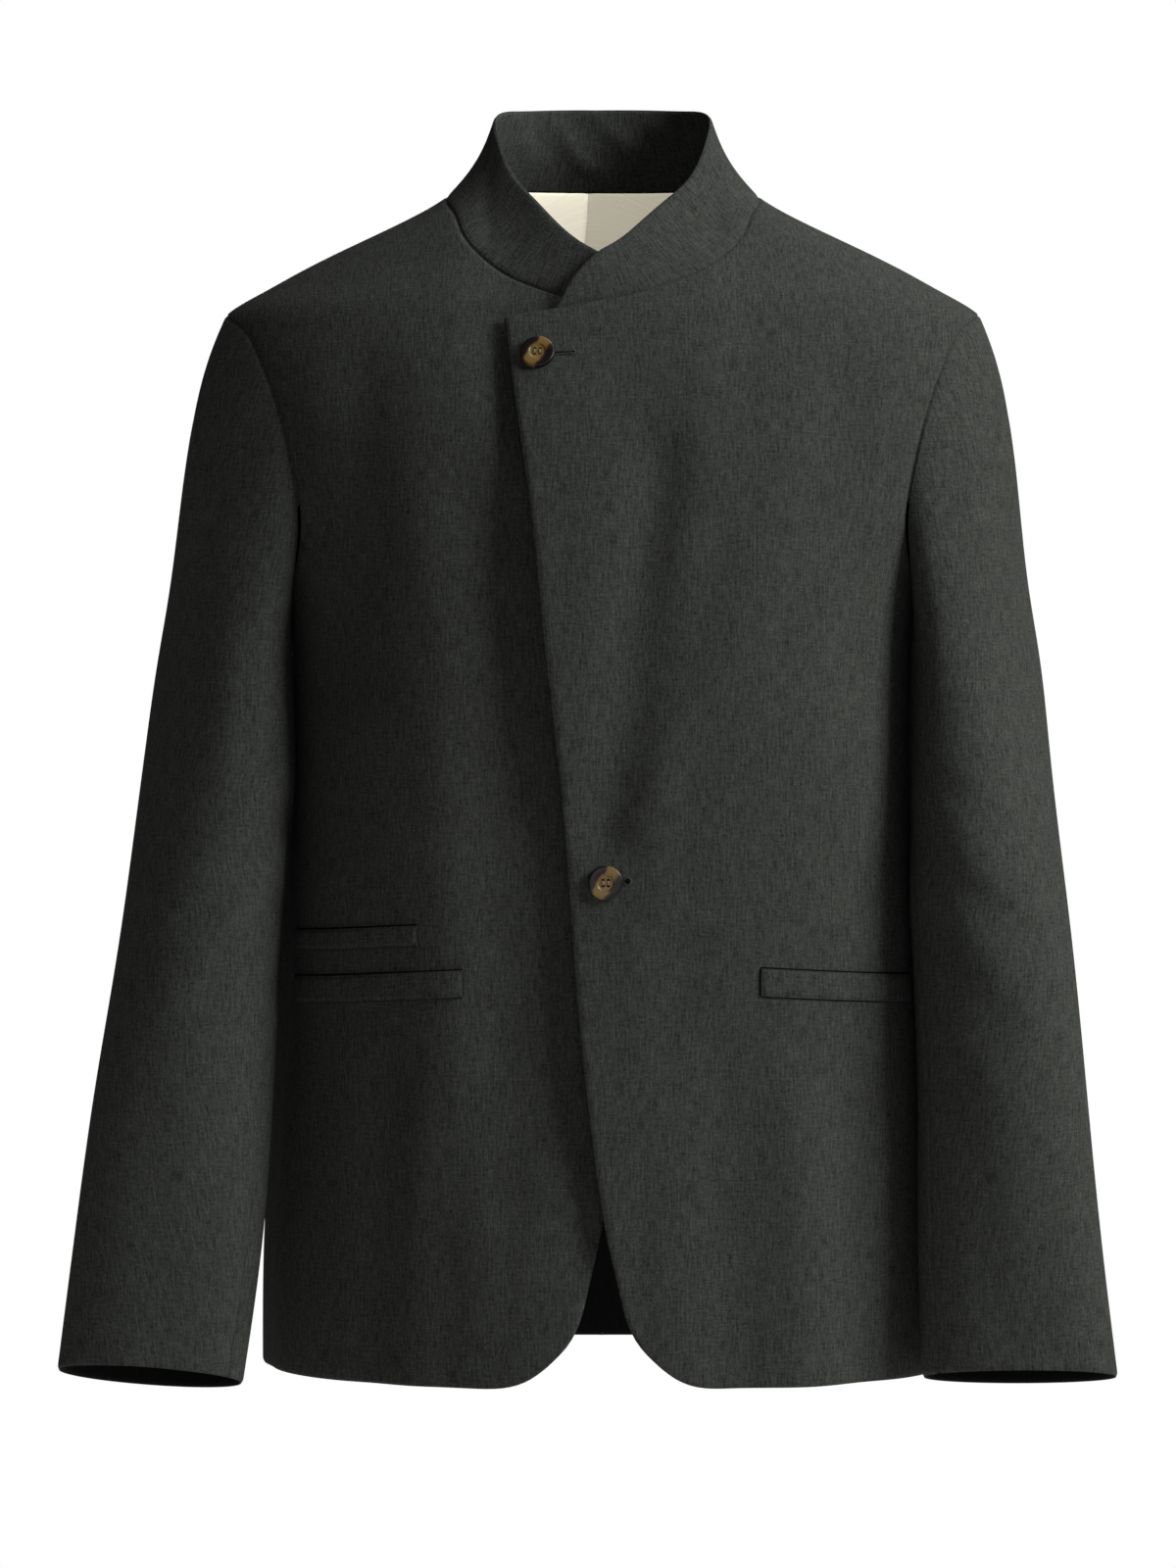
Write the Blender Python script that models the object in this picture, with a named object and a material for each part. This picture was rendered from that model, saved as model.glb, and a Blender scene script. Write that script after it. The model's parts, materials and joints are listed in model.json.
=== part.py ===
"""Mandarin collar blazer, filled out as if worn: each cut piece is a thin wall of cloth.

Units are metres. +Z is up, the front faces -Y and the wearer's left is +X. The origin is
where the shoulders carry the garment: on the centre line, level with the shoulder neck points.
"""

import math
from collections import namedtuple

import bmesh
import bpy
import numpy as np
from mathutils import Matrix, Vector

# Cloth
CLOTH = 0.0020
COLLAR_CLOTH = 0.0026
LINING_CLOTH = 0.0010
LINING_GAP = 0.0008
WELT_CLOTH = 0.0014
SEAM_GAP = 0.0003
COLLAR_GAP = 0.0005
MERGE = 0.000002
SHARP_ANGLE = math.radians(40.0)

# Where the fronts lap, the left lies this far outside the common form and the right inside it
LAP_STEP = 0.0025
LAP_FADE = 0.034

# Neck, shoulder, armhole and hem
NECK_POINT_HEIGHT = -0.004
SHOULDER_TIP_HEIGHT = -0.077
UNDERARM_HEIGHT = -0.250
HEM_HEIGHT = -0.7175
CHEST_EDGE_HEIGHT = -0.270

# Rows of each panel, bottom to top, and its columns; both borders of a panel have as many rows
SIDE_ROWS = 14
ARMHOLE_ROWS = 12
SHOULDER_ROWS = 5
EDGE_ROWS = 7
LAP_ROWS = 2
FRONT_NECK_ROWS = ARMHOLE_ROWS + SHOULDER_ROWS - EDGE_ROWS - LAP_ROWS
BACK_NECK_ROWS = SHOULDER_ROWS
PANEL_ROWS = SIDE_ROWS + ARMHOLE_ROWS + SHOULDER_ROWS
FRONT_COLUMNS = 13
BACK_COLUMNS = 9
HEM_CURVE_SHARE = 0.12
HEM_CLOSENESS = 1.3
EDGE_CLOSENESS = 1.35
COLLAR_ROWS = 4
LINING_ROWS = ARMHOLE_ROWS + SHOULDER_ROWS - 1
LINING_COLUMNS = BACK_COLUMNS - 1
LINING_SHORT = 0.0025
LINE_SAMPLES = 120
FINE_SAMPLES = 6 * LINE_SAMPLES

# The torso, section by section: superellipses with their own front and back
BodySection = namedtuple("BodySection", "height half_width front_depth back_depth front_power back_power")
BODY = (
    BodySection(-0.7175, 0.2080, 0.1300, 0.1220, 2.40, 2.40),
    BodySection(-0.6500, 0.2075, 0.1275, 0.1190, 2.40, 2.40),
    BodySection(-0.6000, 0.2050, 0.1250, 0.1170, 2.40, 2.40),
    BodySection(-0.5400, 0.2005, 0.1225, 0.1130, 2.40, 2.40),
    BodySection(-0.4800, 0.1955, 0.1210, 0.1095, 2.40, 2.40),
    BodySection(-0.4200, 0.1905, 0.1220, 0.1080, 2.40, 2.40),
    BodySection(-0.3600, 0.1885, 0.1255, 0.1110, 2.38, 2.38),
    BodySection(-0.3000, 0.1890, 0.1285, 0.1170, 2.35, 2.35),
    BodySection(-0.2500, 0.1940, 0.1285, 0.1205, 2.32, 2.32),
    BodySection(-0.2200, 0.2035, 0.1270, 0.1205, 2.28, 2.28),
    BodySection(-0.1800, 0.220, 0.1215, 0.1170, 2.22, 2.22),
    BodySection(-0.1400, 0.234, 0.1110, 0.1100, 2.15, 2.15),
    BodySection(-0.1100, 0.2395, 0.0985, 0.1025, 2.08, 2.08),
    BodySection(-0.0900, 0.2370, 0.0885, 0.0970, 2.02, 2.02),
    BodySection(-0.0770, 0.2285, 0.0810, 0.0920, 2.00, 2.00),
    BodySection(-0.0650, 0.2085, 0.0725, 0.0875, 2.00, 2.00),
    BodySection(-0.0530, 0.1870, 0.0640, 0.0825, 2.00, 2.00),
    BodySection(-0.0350, 0.1510, 0.0525, 0.0745, 2.00, 2.00),
    BodySection(-0.0170, 0.1140, 0.0400, 0.0665, 2.00, 2.00),
    BodySection(-0.0040, 0.0935, 0.0300, 0.0610, 2.00, 2.00),
    BodySection(0.0060, 0.0850, 0.0240, 0.0570, 2.00, 2.00),
    BodySection(0.0160, 0.0790, 0.0180, 0.0540, 2.00, 2.00),
)

# The cut lines of a front, as seen from the front, with x positive away from the lap
CutPoint = namedtuple("CutPoint", "x height")
FRONT_EDGE = (
    CutPoint(0.0338, -0.7054),
    CutPoint(0.0229, -0.6945),
    CutPoint(0.0156, -0.6820),
    CutPoint(0.0100, -0.6620),
    CutPoint(0.0025, -0.6290),
    CutPoint(-0.0049, -0.5820),
    CutPoint(-0.0133, -0.5070),
    CutPoint(-0.0199, -0.4225),
    CutPoint(-0.0234, -0.3765),
    CutPoint(-0.0334, -0.2850),
    CutPoint(-0.0420, -0.2025),
    CutPoint(-0.0503, -0.1465),
    CutPoint(-0.0578, -0.0892),
)
FRONT_HEM = (
    CutPoint(0.0338, -0.7054),
    CutPoint(0.0415, -0.7110),
    CutPoint(0.0502, -0.7150),
    CutPoint(0.0600, -0.7170),
    CutPoint(0.0750, HEM_HEIGHT),
    CutPoint(0.1200, HEM_HEIGHT),
    CutPoint(0.1700, HEM_HEIGHT),
)
LAP_NECK = (
    CutPoint(-0.0578, -0.0892),
    CutPoint(-0.0440, -0.0870),
    CutPoint(-0.0300, -0.0845),
)
FRONT_NECK = (
    CutPoint(-0.0300, -0.0845),
    CutPoint(-0.0138, -0.0812),
    CutPoint(0.0026, -0.0785),
    CutPoint(0.0190, -0.0750),
    CutPoint(0.0370, -0.0690),
    CutPoint(0.0570, -0.0600),
    CutPoint(0.0730, -0.0480),
    CutPoint(0.0860, -0.0310),
    CutPoint(0.0915, -0.0170),
)
FRONT_ARMHOLE = (
    CutPoint(0.1880, -0.2420),
    CutPoint(0.1832, -0.2270),
    CutPoint(0.1812, -0.2050),
    CutPoint(0.1848, -0.1780),
    CutPoint(0.1938, -0.1420),
    CutPoint(0.2060, -0.1100),
    CutPoint(0.2175, -0.0900),
)
BACK_ARMHOLE = (
    CutPoint(0.1890, -0.2400),
    CutPoint(0.1870, -0.2190),
    CutPoint(0.1880, -0.1900),
    CutPoint(0.1945, -0.1550),
    CutPoint(0.2050, -0.1200),
    CutPoint(0.2170, -0.0930),
)
NeckTurn = namedtuple("NeckTurn", "angle height")
BACK_NECK = (
    NeckTurn(180.0, 0.0060),
    NeckTurn(150.0, 0.0055),
    NeckTurn(120.0, 0.0030),
    NeckTurn(90.0, NECK_POINT_HEIGHT),
)

# The collar's upper edge on the left half; run goes along the neck seam from centre back
CollarTop = namedtuple("CollarTop", "run x y z")
COLLAR_TOP = (
    CollarTop(0.000, 0.0000, 0.0460, 0.0545),
    CollarTop(0.120, 0.0280, 0.0435, 0.0540),
    CollarTop(0.250, 0.0520, 0.0300, 0.0515),
    CollarTop(0.385, 0.0665, 0.0030, 0.0430),
    CollarTop(0.460, 0.0640, -0.0140, 0.0280),
    CollarTop(0.540, 0.0555, -0.0290, 0.0060),
    CollarTop(0.620, 0.0425, -0.0420, -0.0100),
    CollarTop(0.700, 0.0300, -0.0530, -0.0230),
    CollarTop(0.780, 0.0175, -0.0625, -0.0355),
    CollarTop(0.860, 0.0060, -0.0695, -0.0440),
    CollarTop(0.904, -0.0010, -0.0730, -0.0485),
    CollarTop(0.940, -0.0095, -0.0765, -0.0560),
    CollarTop(0.970, -0.0195, -0.0800, -0.0670),
    CollarTop(1.000, -0.0272, -0.0830, -0.0812),
)
COLLAR_LAP_START = 0.36
COLLAR_LAP_FULL = 0.58

# Sleeve sections below the cap: turned ellipses whose planes may tip
SleeveSection = namedtuple(
    "SleeveSection", "height across forward half_width half_depth turn front_rise outer_rise"
)
SLEEVE_LEFT = (
    SleeveSection(-0.2750, 0.2270, 0.0150, 0.0320, 0.0740, 22.0, 0.00, 0.00),
    SleeveSection(-0.3600, 0.2298, 0.0330, 0.0390, 0.0670, 22.0, 0.00, 0.00),
    SleeveSection(-0.4500, 0.2325, 0.0560, 0.0470, 0.0570, 15.0, 0.05, 0.00),
    SleeveSection(-0.5400, 0.2371, 0.0710, 0.0500, 0.0480, 8.0, 0.10, 0.00),
    SleeveSection(-0.6300, 0.2405, 0.0830, 0.0540, 0.0385, 3.0, 0.18, 0.00),
    SleeveSection(-0.7150, 0.2463, 0.0910, 0.0576, 0.0310, 0.0, 0.26, 0.00),
)
SLEEVE_RIGHT = (
    SleeveSection(-0.2750, 0.2295, 0.0140, 0.0355, 0.0740, 20.0, 0.00, 0.00),
    SleeveSection(-0.3600, 0.2328, 0.0290, 0.0440, 0.0670, 22.0, 0.00, 0.01),
    SleeveSection(-0.4500, 0.2400, 0.0450, 0.0490, 0.0580, 18.0, 0.06, 0.02),
    SleeveSection(-0.5400, 0.2495, 0.0600, 0.0528, 0.0480, 9.0, 0.12, 0.04),
    SleeveSection(-0.6300, 0.2580, 0.0720, 0.0555, 0.0380, 3.0, 0.22, 0.06),
    SleeveSection(-0.7165, 0.2690, 0.0780, 0.0550, 0.0310, 0.0, 0.31, 0.07),
)
CAP_ROWS = (2, 4, 4)
ARM_ROWS = 3
HEAD_SHARE = 0.09
CAP_SHARE = 0.55
HEAD_ROLL = 0.0045
CAP_ROLL = 0.0075
HEAD_AGREE = 0.5
FOREARM_SEAM_COLUMN = 10
HIND_SEAM_COLUMN = 20

# Soft folds of the fronts and backs, from one end to the other; depth is negative for a trough
Fold = namedtuple("Fold", "x1 height1 x2 height2 breadth depth")
FRONT_LEFT_FOLDS = (
    Fold(0.012, -0.385, 0.078, -0.235, 0.020, -0.0042),
    Fold(0.020, -0.140, 0.030, -0.300, 0.030, -0.0025),
    Fold(0.070, -0.530, 0.078, -0.720, 0.020, -0.0034),
    Fold(0.112, -0.560, 0.120, -0.720, 0.018, 0.0030),
    Fold(0.150, -0.540, 0.156, -0.720, 0.017, -0.0032),
    Fold(0.140, -0.130, 0.150, -0.300, 0.022, -0.0030),
)
FRONT_RIGHT_FOLDS = (
    Fold(-0.050, -0.220, -0.045, -0.560, 0.026, -0.0040),
    Fold(-0.090, -0.300, -0.080, -0.620, 0.024, 0.0022),
    Fold(-0.128, -0.540, -0.138, -0.720, 0.020, -0.0034),
    Fold(-0.088, -0.560, -0.094, -0.720, 0.018, -0.0024),
    Fold(-0.142, -0.130, -0.152, -0.300, 0.022, -0.0030),
)
BACK_FOLDS = (
    Fold(0.125, -0.130, 0.140, -0.330, 0.020, -0.0036),
    Fold(-0.125, -0.120, -0.142, -0.310, 0.022, -0.0040),
    Fold(0.070, -0.400, 0.092, -0.720, 0.024, 0.0032),
    Fold(-0.060, -0.420, -0.085, -0.720, 0.026, 0.0036),
    Fold(0.128, -0.520, 0.140, -0.720, 0.018, -0.0028),
    Fold(-0.126, -0.500, -0.142, -0.720, 0.020, -0.0030),
)
SEAM_CALM = math.radians(14.0)

# Soft folds of the sleeves: turn is degrees round from the outer side by way of the front
SleeveFold = namedtuple("SleeveFold", "turn1 height1 turn2 height2 breadth depth")
SLEEVE_LEFT_FOLDS = (
    SleeveFold(60.0, -0.180, 85.0, -0.360, 0.020, -0.0024),
    SleeveFold(128.0, -0.400, 60.0, -0.455, 0.014, -0.0026),
    SleeveFold(132.0, -0.450, 85.0, -0.505, 0.013, -0.0022),
    SleeveFold(290.0, -0.360, 255.0, -0.420, 0.014, 0.0024),
    SleeveFold(120.0, -0.545, 100.0, -0.690, 0.018, -0.0020),
)
SLEEVE_RIGHT_FOLDS = (
    SleeveFold(55.0, -0.170, 90.0, -0.340, 0.022, -0.0026),
    SleeveFold(155.0, -0.385, 70.0, -0.440, 0.014, -0.0028),
    SleeveFold(160.0, -0.440, 95.0, -0.485, 0.012, -0.0020),
    SleeveFold(285.0, -0.370, 250.0, -0.430, 0.015, 0.0026),
    SleeveFold(70.0, -0.560, 95.0, -0.700, 0.019, -0.0022),
)

# How far the lapping edge stands up between the buttons, and the right front sinks beside it
EdgeLift = namedtuple("EdgeLift", "height over under")
EDGE_LIFT = (
    EdgeLift(-0.720, 0.0010, 0.0000),
    EdgeLift(-0.600, 0.0030, 0.0030),
    EdgeLift(-0.500, 0.0024, 0.0040),
    EdgeLift(-0.430, 0.0004, 0.0030),
    EdgeLift(-0.350, 0.0022, 0.0050),
    EdgeLift(-0.250, 0.0034, 0.0050),
    EdgeLift(-0.150, 0.0012, 0.0025),
    EdgeLift(-0.110, 0.0002, 0.0010),
    EdgeLift(-0.080, 0.0000, 0.0000),
)
EDGE_LIFT_REACH = 0.030
UNDER_SINK_REACH = 0.085

# Pocket welts, between their upper corners
Welt = namedtuple("Welt", "name x1 height1 x2 height2 drop")
WELTS = (
    Welt("welt_hip_left", 0.0925, -0.4735, 0.1835, -0.4793, 0.0155),
    Welt("welt_hip_right", -0.0830, -0.4745, -0.1885, -0.4805, 0.0150),
    Welt("welt_ticket_right", -0.1095, -0.4485, -0.1855, -0.4529, 0.0112),
)
WELT_COLUMNS = 14
WELT_ROWS = 2
WELT_STANDOFF = 0.0006

# Buttons
Button = namedtuple("Button", "name x height")
BUTTONS = (
    Button("button_upper", -0.0385, -0.1130),
    Button("button_lower", 0.0013, -0.4225),
)
BUTTON_RADIUS = 0.0100
BUTTON_THICK = 0.0036
BUTTON_RIM = 0.0024
BUTTON_DISH = 0.0009
BUTTON_EDGE = 0.0008
BUTTON_SIDES = 32
BUTTON_STANDOFF = 0.0005
THREAD_HOLE_RADIUS = 0.0010
THREAD_HOLE_PLACE = 0.0016
THREAD_HOLE_SIDES = 10
THREAD_HOLES = 4

# Finishes
WOOL = (0.022, 0.025, 0.022, 1.0)
LINING_COLOUR = (0.62, 0.55, 0.43, 1.0)
BUTTON_COLOUR = (0.16, 0.065, 0.022, 1.0)
WOOL_ROUGH = 0.92
LINING_ROUGH = 0.55
BUTTON_ROUGH = 0.25


def columns(table):
    """The table's numbers as an array with a row for each of its rows."""
    return np.array([tuple(row) for row in table], float)


def smooth_curve(knots, values, places):
    """Natural cubic spline through values at rising knots, read at the places."""
    knots = np.asarray(knots, float)
    values = np.asarray(values, float)
    flat = values.reshape(len(knots), -1)
    span = np.diff(knots)
    rise = np.diff(flat, axis=0) / span[:, None]
    system = np.eye(len(knots))
    pull = np.zeros_like(flat)
    for i in range(1, len(knots) - 1):
        system[i, i - 1 : i + 2] = span[i - 1], 2 * (span[i - 1] + span[i]), span[i]
        pull[i] = 6 * (rise[i] - rise[i - 1])
    bend = np.linalg.solve(system, pull)
    places = np.asarray(places, float)
    spot = np.clip(places.ravel(), knots[0], knots[-1])
    i = np.clip(np.searchsorted(knots, spot) - 1, 0, len(knots) - 2)
    size = span[i][:, None]
    ahead = (knots[i + 1] - spot)[:, None]
    behind = (spot - knots[i])[:, None]
    found = (bend[i] * ahead**3 + bend[i + 1] * behind**3) / (6 * size)
    found += (flat[i] / size - bend[i] * size / 6) * ahead
    found += (flat[i + 1] / size - bend[i + 1] * size / 6) * behind
    return found.reshape(places.shape + values.shape[1:])


def ease(value):
    """Smooth step from 0 to 1 as the value goes from 0 to 1."""
    value = np.clip(value, 0.0, 1.0)
    return value * value * (3 - 2 * value)


def unit(vectors):
    """The vectors at length 1."""
    return vectors / np.linalg.norm(vectors, axis=-1, keepdims=True)


def body_section(height):
    """Half width, front depth, back depth, front power and back power at each height."""
    table = columns(BODY)
    return np.moveaxis(smooth_curve(table[:, 0], table[:, 1:], height), -1, 0)


def body_point(angle, height):
    """Point of the torso: angle 0 is the front centre, a quarter turn the left side."""
    height = np.asarray(height, float)
    half_width, front_depth, back_depth, front_power, back_power = body_section(height)
    in_front = np.cos(angle) >= 0
    depth = np.where(in_front, front_depth, back_depth)
    power = np.where(in_front, front_power, back_power)
    reach = np.abs(np.sin(angle)) ** power + np.abs(np.cos(angle)) ** power
    reach = reach ** (-1 / power)
    x = half_width * reach * np.sin(angle)
    y = -depth * reach * np.cos(angle)
    return np.stack([x, y, height], axis=-1)


def body_normal(angle, height):
    """Outward direction of the torso's surface."""
    turn = 0.002
    lift = 0.0008
    round_ward = body_point(angle + turn, height) - body_point(angle - turn, height)
    up_ward = body_point(angle, height + lift) - body_point(angle, height - lift)
    return unit(np.cross(round_ward, up_ward))


def body_angle(x, height, back=False):
    """Angle at which the torso, in front or behind, is x from the centre plane."""
    section = body_section(height)
    power = section[4] if back else section[3]
    share = np.clip(np.abs(x) / section[0], 0.0, 1.0)
    rest = (1 - share**power) ** (1 / power)
    angle = np.arctan2(share, rest)
    return np.sign(x) * (math.pi - angle if back else angle)


def fold_lift(folds, x, height):
    """Sum of the folds' soft troughs and ridges at points seen from the front."""
    lift = np.zeros_like(x)
    for fold in folds:
        run_x, run_z = fold.x2 - fold.x1, fold.height2 - fold.height1
        length = run_x**2 + run_z**2
        along = ((x - fold.x1) * run_x + (height - fold.height1) * run_z) / length
        along = np.clip(along, 0.0, 1.0)
        away = np.hypot(x - fold.x1 - along * run_x, height - fold.height1 - along * run_z)
        lift += fold.depth * np.exp(-((away / fold.breadth) ** 2))
    return lift


def edge_x(height):
    """Where the lapping edge of a front lies, measured from the centre plane."""
    edge = columns(FRONT_EDGE)
    return smooth_curve(edge[:, 1], edge[:, 0], np.minimum(height, edge[-1, 1]))


def lap_lift(x, height, over):
    """Outward shift of a front near the lap; x is positive on the front's own side."""
    table = columns(EDGE_LIFT)
    overs, unders = np.moveaxis(smooth_curve(table[:, 0], table[:, 1:], height), -1, 0)
    edge = edge_x(height)
    step = LAP_STEP * (1 - ease((x + edge) / LAP_FADE))
    if over:
        return step + overs * np.exp(-np.clip(x - edge, 0, None) / EDGE_LIFT_REACH)
    return -step - unders * (1 - ease((x + edge) / UNDER_SINK_REACH))


def body_relief(angle, height, side):
    """Outward shift of the cloth from the torso: the lap and the folds, calm at the seams."""
    point = body_point(angle, height)
    x = point[..., 0]
    calm = ease(np.abs(np.abs(angle) - math.pi / 2) / SEAM_CALM)
    if np.max(np.abs(angle)) > math.pi / 2 + SEAM_CALM:
        calm = calm * ease(np.abs(np.abs(angle) - math.pi) / SEAM_CALM)
        return calm * fold_lift(BACK_FOLDS, x, height)
    folds = FRONT_LEFT_FOLDS if side > 0 else FRONT_RIGHT_FOLDS
    return calm * fold_lift(folds, x, height) + lap_lift(side * x, height, side > 0)


def spread(angle, height):
    """The line through these points, as LINE_SAMPLES steps of even length."""
    points = np.stack([angle, height], axis=-1)
    solid = body_point(angle, height)
    knots = np.append(0.0, np.cumsum(np.linalg.norm(np.diff(solid, axis=0), axis=1)))
    fine = smooth_curve(knots, points, np.linspace(0.0, knots[-1], FINE_SAMPLES))
    solid = body_point(fine[:, 0], fine[:, 1])
    run = np.append(0.0, np.cumsum(np.linalg.norm(np.diff(solid, axis=0), axis=1)))
    even = np.linspace(0.0, run[-1], LINE_SAMPLES + 1)
    return np.stack([np.interp(even, run, fine[:, 0]), np.interp(even, run, fine[:, 1])], axis=-1)


def cut_line(cut, back=False):
    """Angles and heights of a table of cut points."""
    table = columns(cut)
    return body_angle(table[:, 0], table[:, 1], back), table[:, 1]


class Border:
    """One side of a panel, made of lines end to end, each with its share of the steps."""

    def __init__(self, *lines_and_steps):
        self.lines = [line for line, _ in lines_and_steps]
        steps = [count for _, count in lines_and_steps]
        self.ends = np.append(0.0, np.cumsum(steps)) / sum(steps)

    def at(self, place):
        """Angle and height at each place from 0 to 1."""
        place = np.asarray(place, float)
        found = np.zeros(place.shape + (2,))
        for line, start, end in zip(self.lines, self.ends[:-1], self.ends[1:]):
            here = (place >= start) & (place <= end)
            spot = (place[here] - start) / (end - start) * LINE_SAMPLES
            for axis in (0, 1):
                found[here, axis] = np.interp(spot, np.arange(LINE_SAMPLES + 1), line[:, axis])
        return found


class Panel:
    """A cut piece of the torso: straight rows between its inner and outer borders."""

    def __init__(self, inner, outer, hem=None):
        self.inner, self.outer, self.hem = inner, outer, hem

    def at(self, s, t):
        """Angle and height at s across from the inner border and t up from the hem."""
        inner, outer = self.inner.at(t), self.outer.at(t)
        found = inner + s[..., None] * (outer - inner)
        angle, height = found[..., 0], found[..., 1]
        if self.hem is not None:
            low = self.inner.at(np.zeros_like(t)), self.outer.at(np.zeros_like(t))
            low_angle, low_height = np.moveaxis(low[0] + s[..., None] * (low[1] - low[0]), -1, 0)
            curve = np.interp(low_angle, self.hem[:, 0], self.hem[:, 1]) - low_height
            height = height + curve * (1 - ease(t / HEM_CURVE_SHARE))
        return angle, height


def side_border(armhole):
    """Side seam, armhole and shoulder seam, from the hem to the neck point."""
    angle, height = armhole
    angle = np.concatenate([[math.pi / 2], angle, [math.pi / 2]])
    height = np.concatenate([[UNDERARM_HEIGHT], height, [SHOULDER_TIP_HEIGHT]])
    side = np.full(2, math.pi / 2)
    seam = spread(side, np.array([HEM_HEIGHT, UNDERARM_HEIGHT]))
    shoulder = spread(side, np.array([SHOULDER_TIP_HEIGHT, NECK_POINT_HEIGHT]))
    return Border((seam, SIDE_ROWS), (spread(angle, height), ARMHOLE_ROWS), (shoulder, SHOULDER_ROWS))


def front_panel():
    """The left front's cut; the right front is its mirror image."""
    edge = columns(FRONT_EDGE)
    lower = np.linspace(edge[0, 1], CHEST_EDGE_HEIGHT, LINE_SAMPLES + 1)
    upper = np.linspace(CHEST_EDGE_HEIGHT, edge[-1, 1], LINE_SAMPLES + 1)
    edge_lines = [np.stack([body_angle(edge_x(z), z), z], axis=-1) for z in (lower, upper)]
    neck_angle, neck_height = cut_line(FRONT_NECK)
    neck = spread(np.append(neck_angle, math.pi / 2), np.append(neck_height, NECK_POINT_HEIGHT))
    inner = Border(
        (edge_lines[0], SIDE_ROWS),
        (edge_lines[1], EDGE_ROWS),
        (spread(*cut_line(LAP_NECK)), LAP_ROWS),
        (neck, FRONT_NECK_ROWS),
    )
    hem_angle, hem_height = cut_line(FRONT_HEM)
    hem = spread(np.append(hem_angle, math.pi / 2), np.append(hem_height, HEM_HEIGHT))
    return Panel(inner, side_border(cut_line(FRONT_ARMHOLE)), hem)


def back_panel():
    """The left back's cut; the right back is its mirror image."""
    turns = columns(BACK_NECK)
    neck = spread(np.radians(turns[:, 0]), turns[:, 1])
    heights = (HEM_HEIGHT, UNDERARM_HEIGHT, turns[0, 1])
    lower, upper = (
        np.linspace((math.pi, low), (math.pi, high), LINE_SAMPLES + 1)
        for low, high in zip(heights[:-1], heights[1:])
    )
    inner = Border((lower, SIDE_ROWS), (upper, ARMHOLE_ROWS), (neck, BACK_NECK_ROWS))
    return Panel(inner, side_border(cut_line(BACK_ARMHOLE, back=True)))


FRONT = front_panel()
BACK = back_panel()


def panel_points(panel, side, s, t):
    """Outer points of a panel's cloth, and the outward directions there."""
    angle, height = panel.at(s, t)
    angle = side * angle
    normal = body_normal(angle, height)
    lift = body_relief(angle, height, side)[..., None]
    return body_point(angle, height) + normal * lift, normal


def seam_drawn(grid, amount):
    """The grid with its two borders moved apart from the seams by this much."""
    grid = grid.copy()
    peak = grid[-1, 0] + amount * unit(grid[-2].mean(axis=0) - grid[-1, 0])
    for near, next_in in ((0, 1), (-1, -2)):
        grid[:-1, near] += amount * unit(grid[:-1, next_in] - grid[:-1, near])
    grid[-1] = peak
    return grid


def wall(name, outer, inner, material):
    """A closed wall of cloth between two grids of points, as a named object."""
    rows, across = outer.shape[:2]
    points = np.concatenate([outer.reshape(-1, 3), inner.reshape(-1, 3)])
    index = np.arange(rows * across).reshape(rows, across)
    below = index + rows * across
    faces = []
    for i in range(rows - 1):
        for j in range(across - 1):
            for spots in (((i, j), (i, j + 1), (i + 1, j + 1)), ((i, j), (i + 1, j + 1), (i + 1, j))):
                faces.append([index[spot] for spot in spots])
                faces.append([below[spot] for spot in reversed(spots)])
    rim = [(0, j) for j in range(across - 1)] + [(i, across - 1) for i in range(rows - 1)]
    rim += [(rows - 1, j) for j in range(across - 1, 0, -1)] + [(i, 0) for i in range(rows - 1, 0, -1)]
    for here, after in zip(rim, rim[1:] + rim[:1]):
        faces.append([index[after], index[here], below[here], below[after]])
    shell = bmesh.new()
    corners = [shell.verts.new(point) for point in points]
    for face in faces:
        shell.faces.new([corners[i] for i in face])
    bmesh.ops.remove_doubles(shell, verts=shell.verts, dist=MERGE)
    bmesh.ops.recalc_face_normals(shell, faces=shell.faces)
    if shell.calc_volume(signed=True) < 0:
        bmesh.ops.reverse_faces(shell, faces=shell.faces)
    return placed(name, shell, material)


def placed(name, shape, material):
    """The bmesh as a smooth-shaded object of the scene."""
    mesh = bpy.data.meshes.new(name)
    shape.to_mesh(mesh)
    shape.free()
    mesh.shade_smooth()
    mesh.set_sharp_from_angle(angle=SHARP_ANGLE)
    mesh.materials.append(material)
    thing = bpy.data.objects.new(name, mesh)
    bpy.context.scene.collection.objects.link(thing)
    return thing


def finish(name, colour, rough):
    """A plain Principled material of its own for one piece."""
    material = bpy.data.materials.new(name)
    material.use_nodes = True
    shader = material.node_tree.nodes["Principled BSDF"]
    shader.inputs["Base Color"].default_value = colour
    shader.inputs["Roughness"].default_value = rough
    return material


def unit_grid(across, rows):
    """Even places from 0 to 1 across and up."""
    return np.meshgrid(np.linspace(0.0, 1.0, across + 1), np.linspace(0.0, 1.0, rows + 1))


def closer_to_hem(t):
    """The places up a panel with the rows below the armhole drawn towards the hem."""
    armhole = SIDE_ROWS / PANEL_ROWS
    return np.where(t < armhole, armhole * (t / armhole) ** HEM_CLOSENESS, t)


def make_panel(name, panel, side, across, edge_closeness=1.0):
    """One front or back of the torso."""
    s, t = unit_grid(across, PANEL_ROWS)
    s, t = s**edge_closeness, closer_to_hem(t)
    outer, normal = panel_points(panel, side, s, t)
    normal[-1] = normal[-1, 0]
    outer = seam_drawn(outer, SEAM_GAP / 2)
    wall(name, outer, outer - CLOTH * normal, finish(name, WOOL, WOOL_ROUGH))


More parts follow.
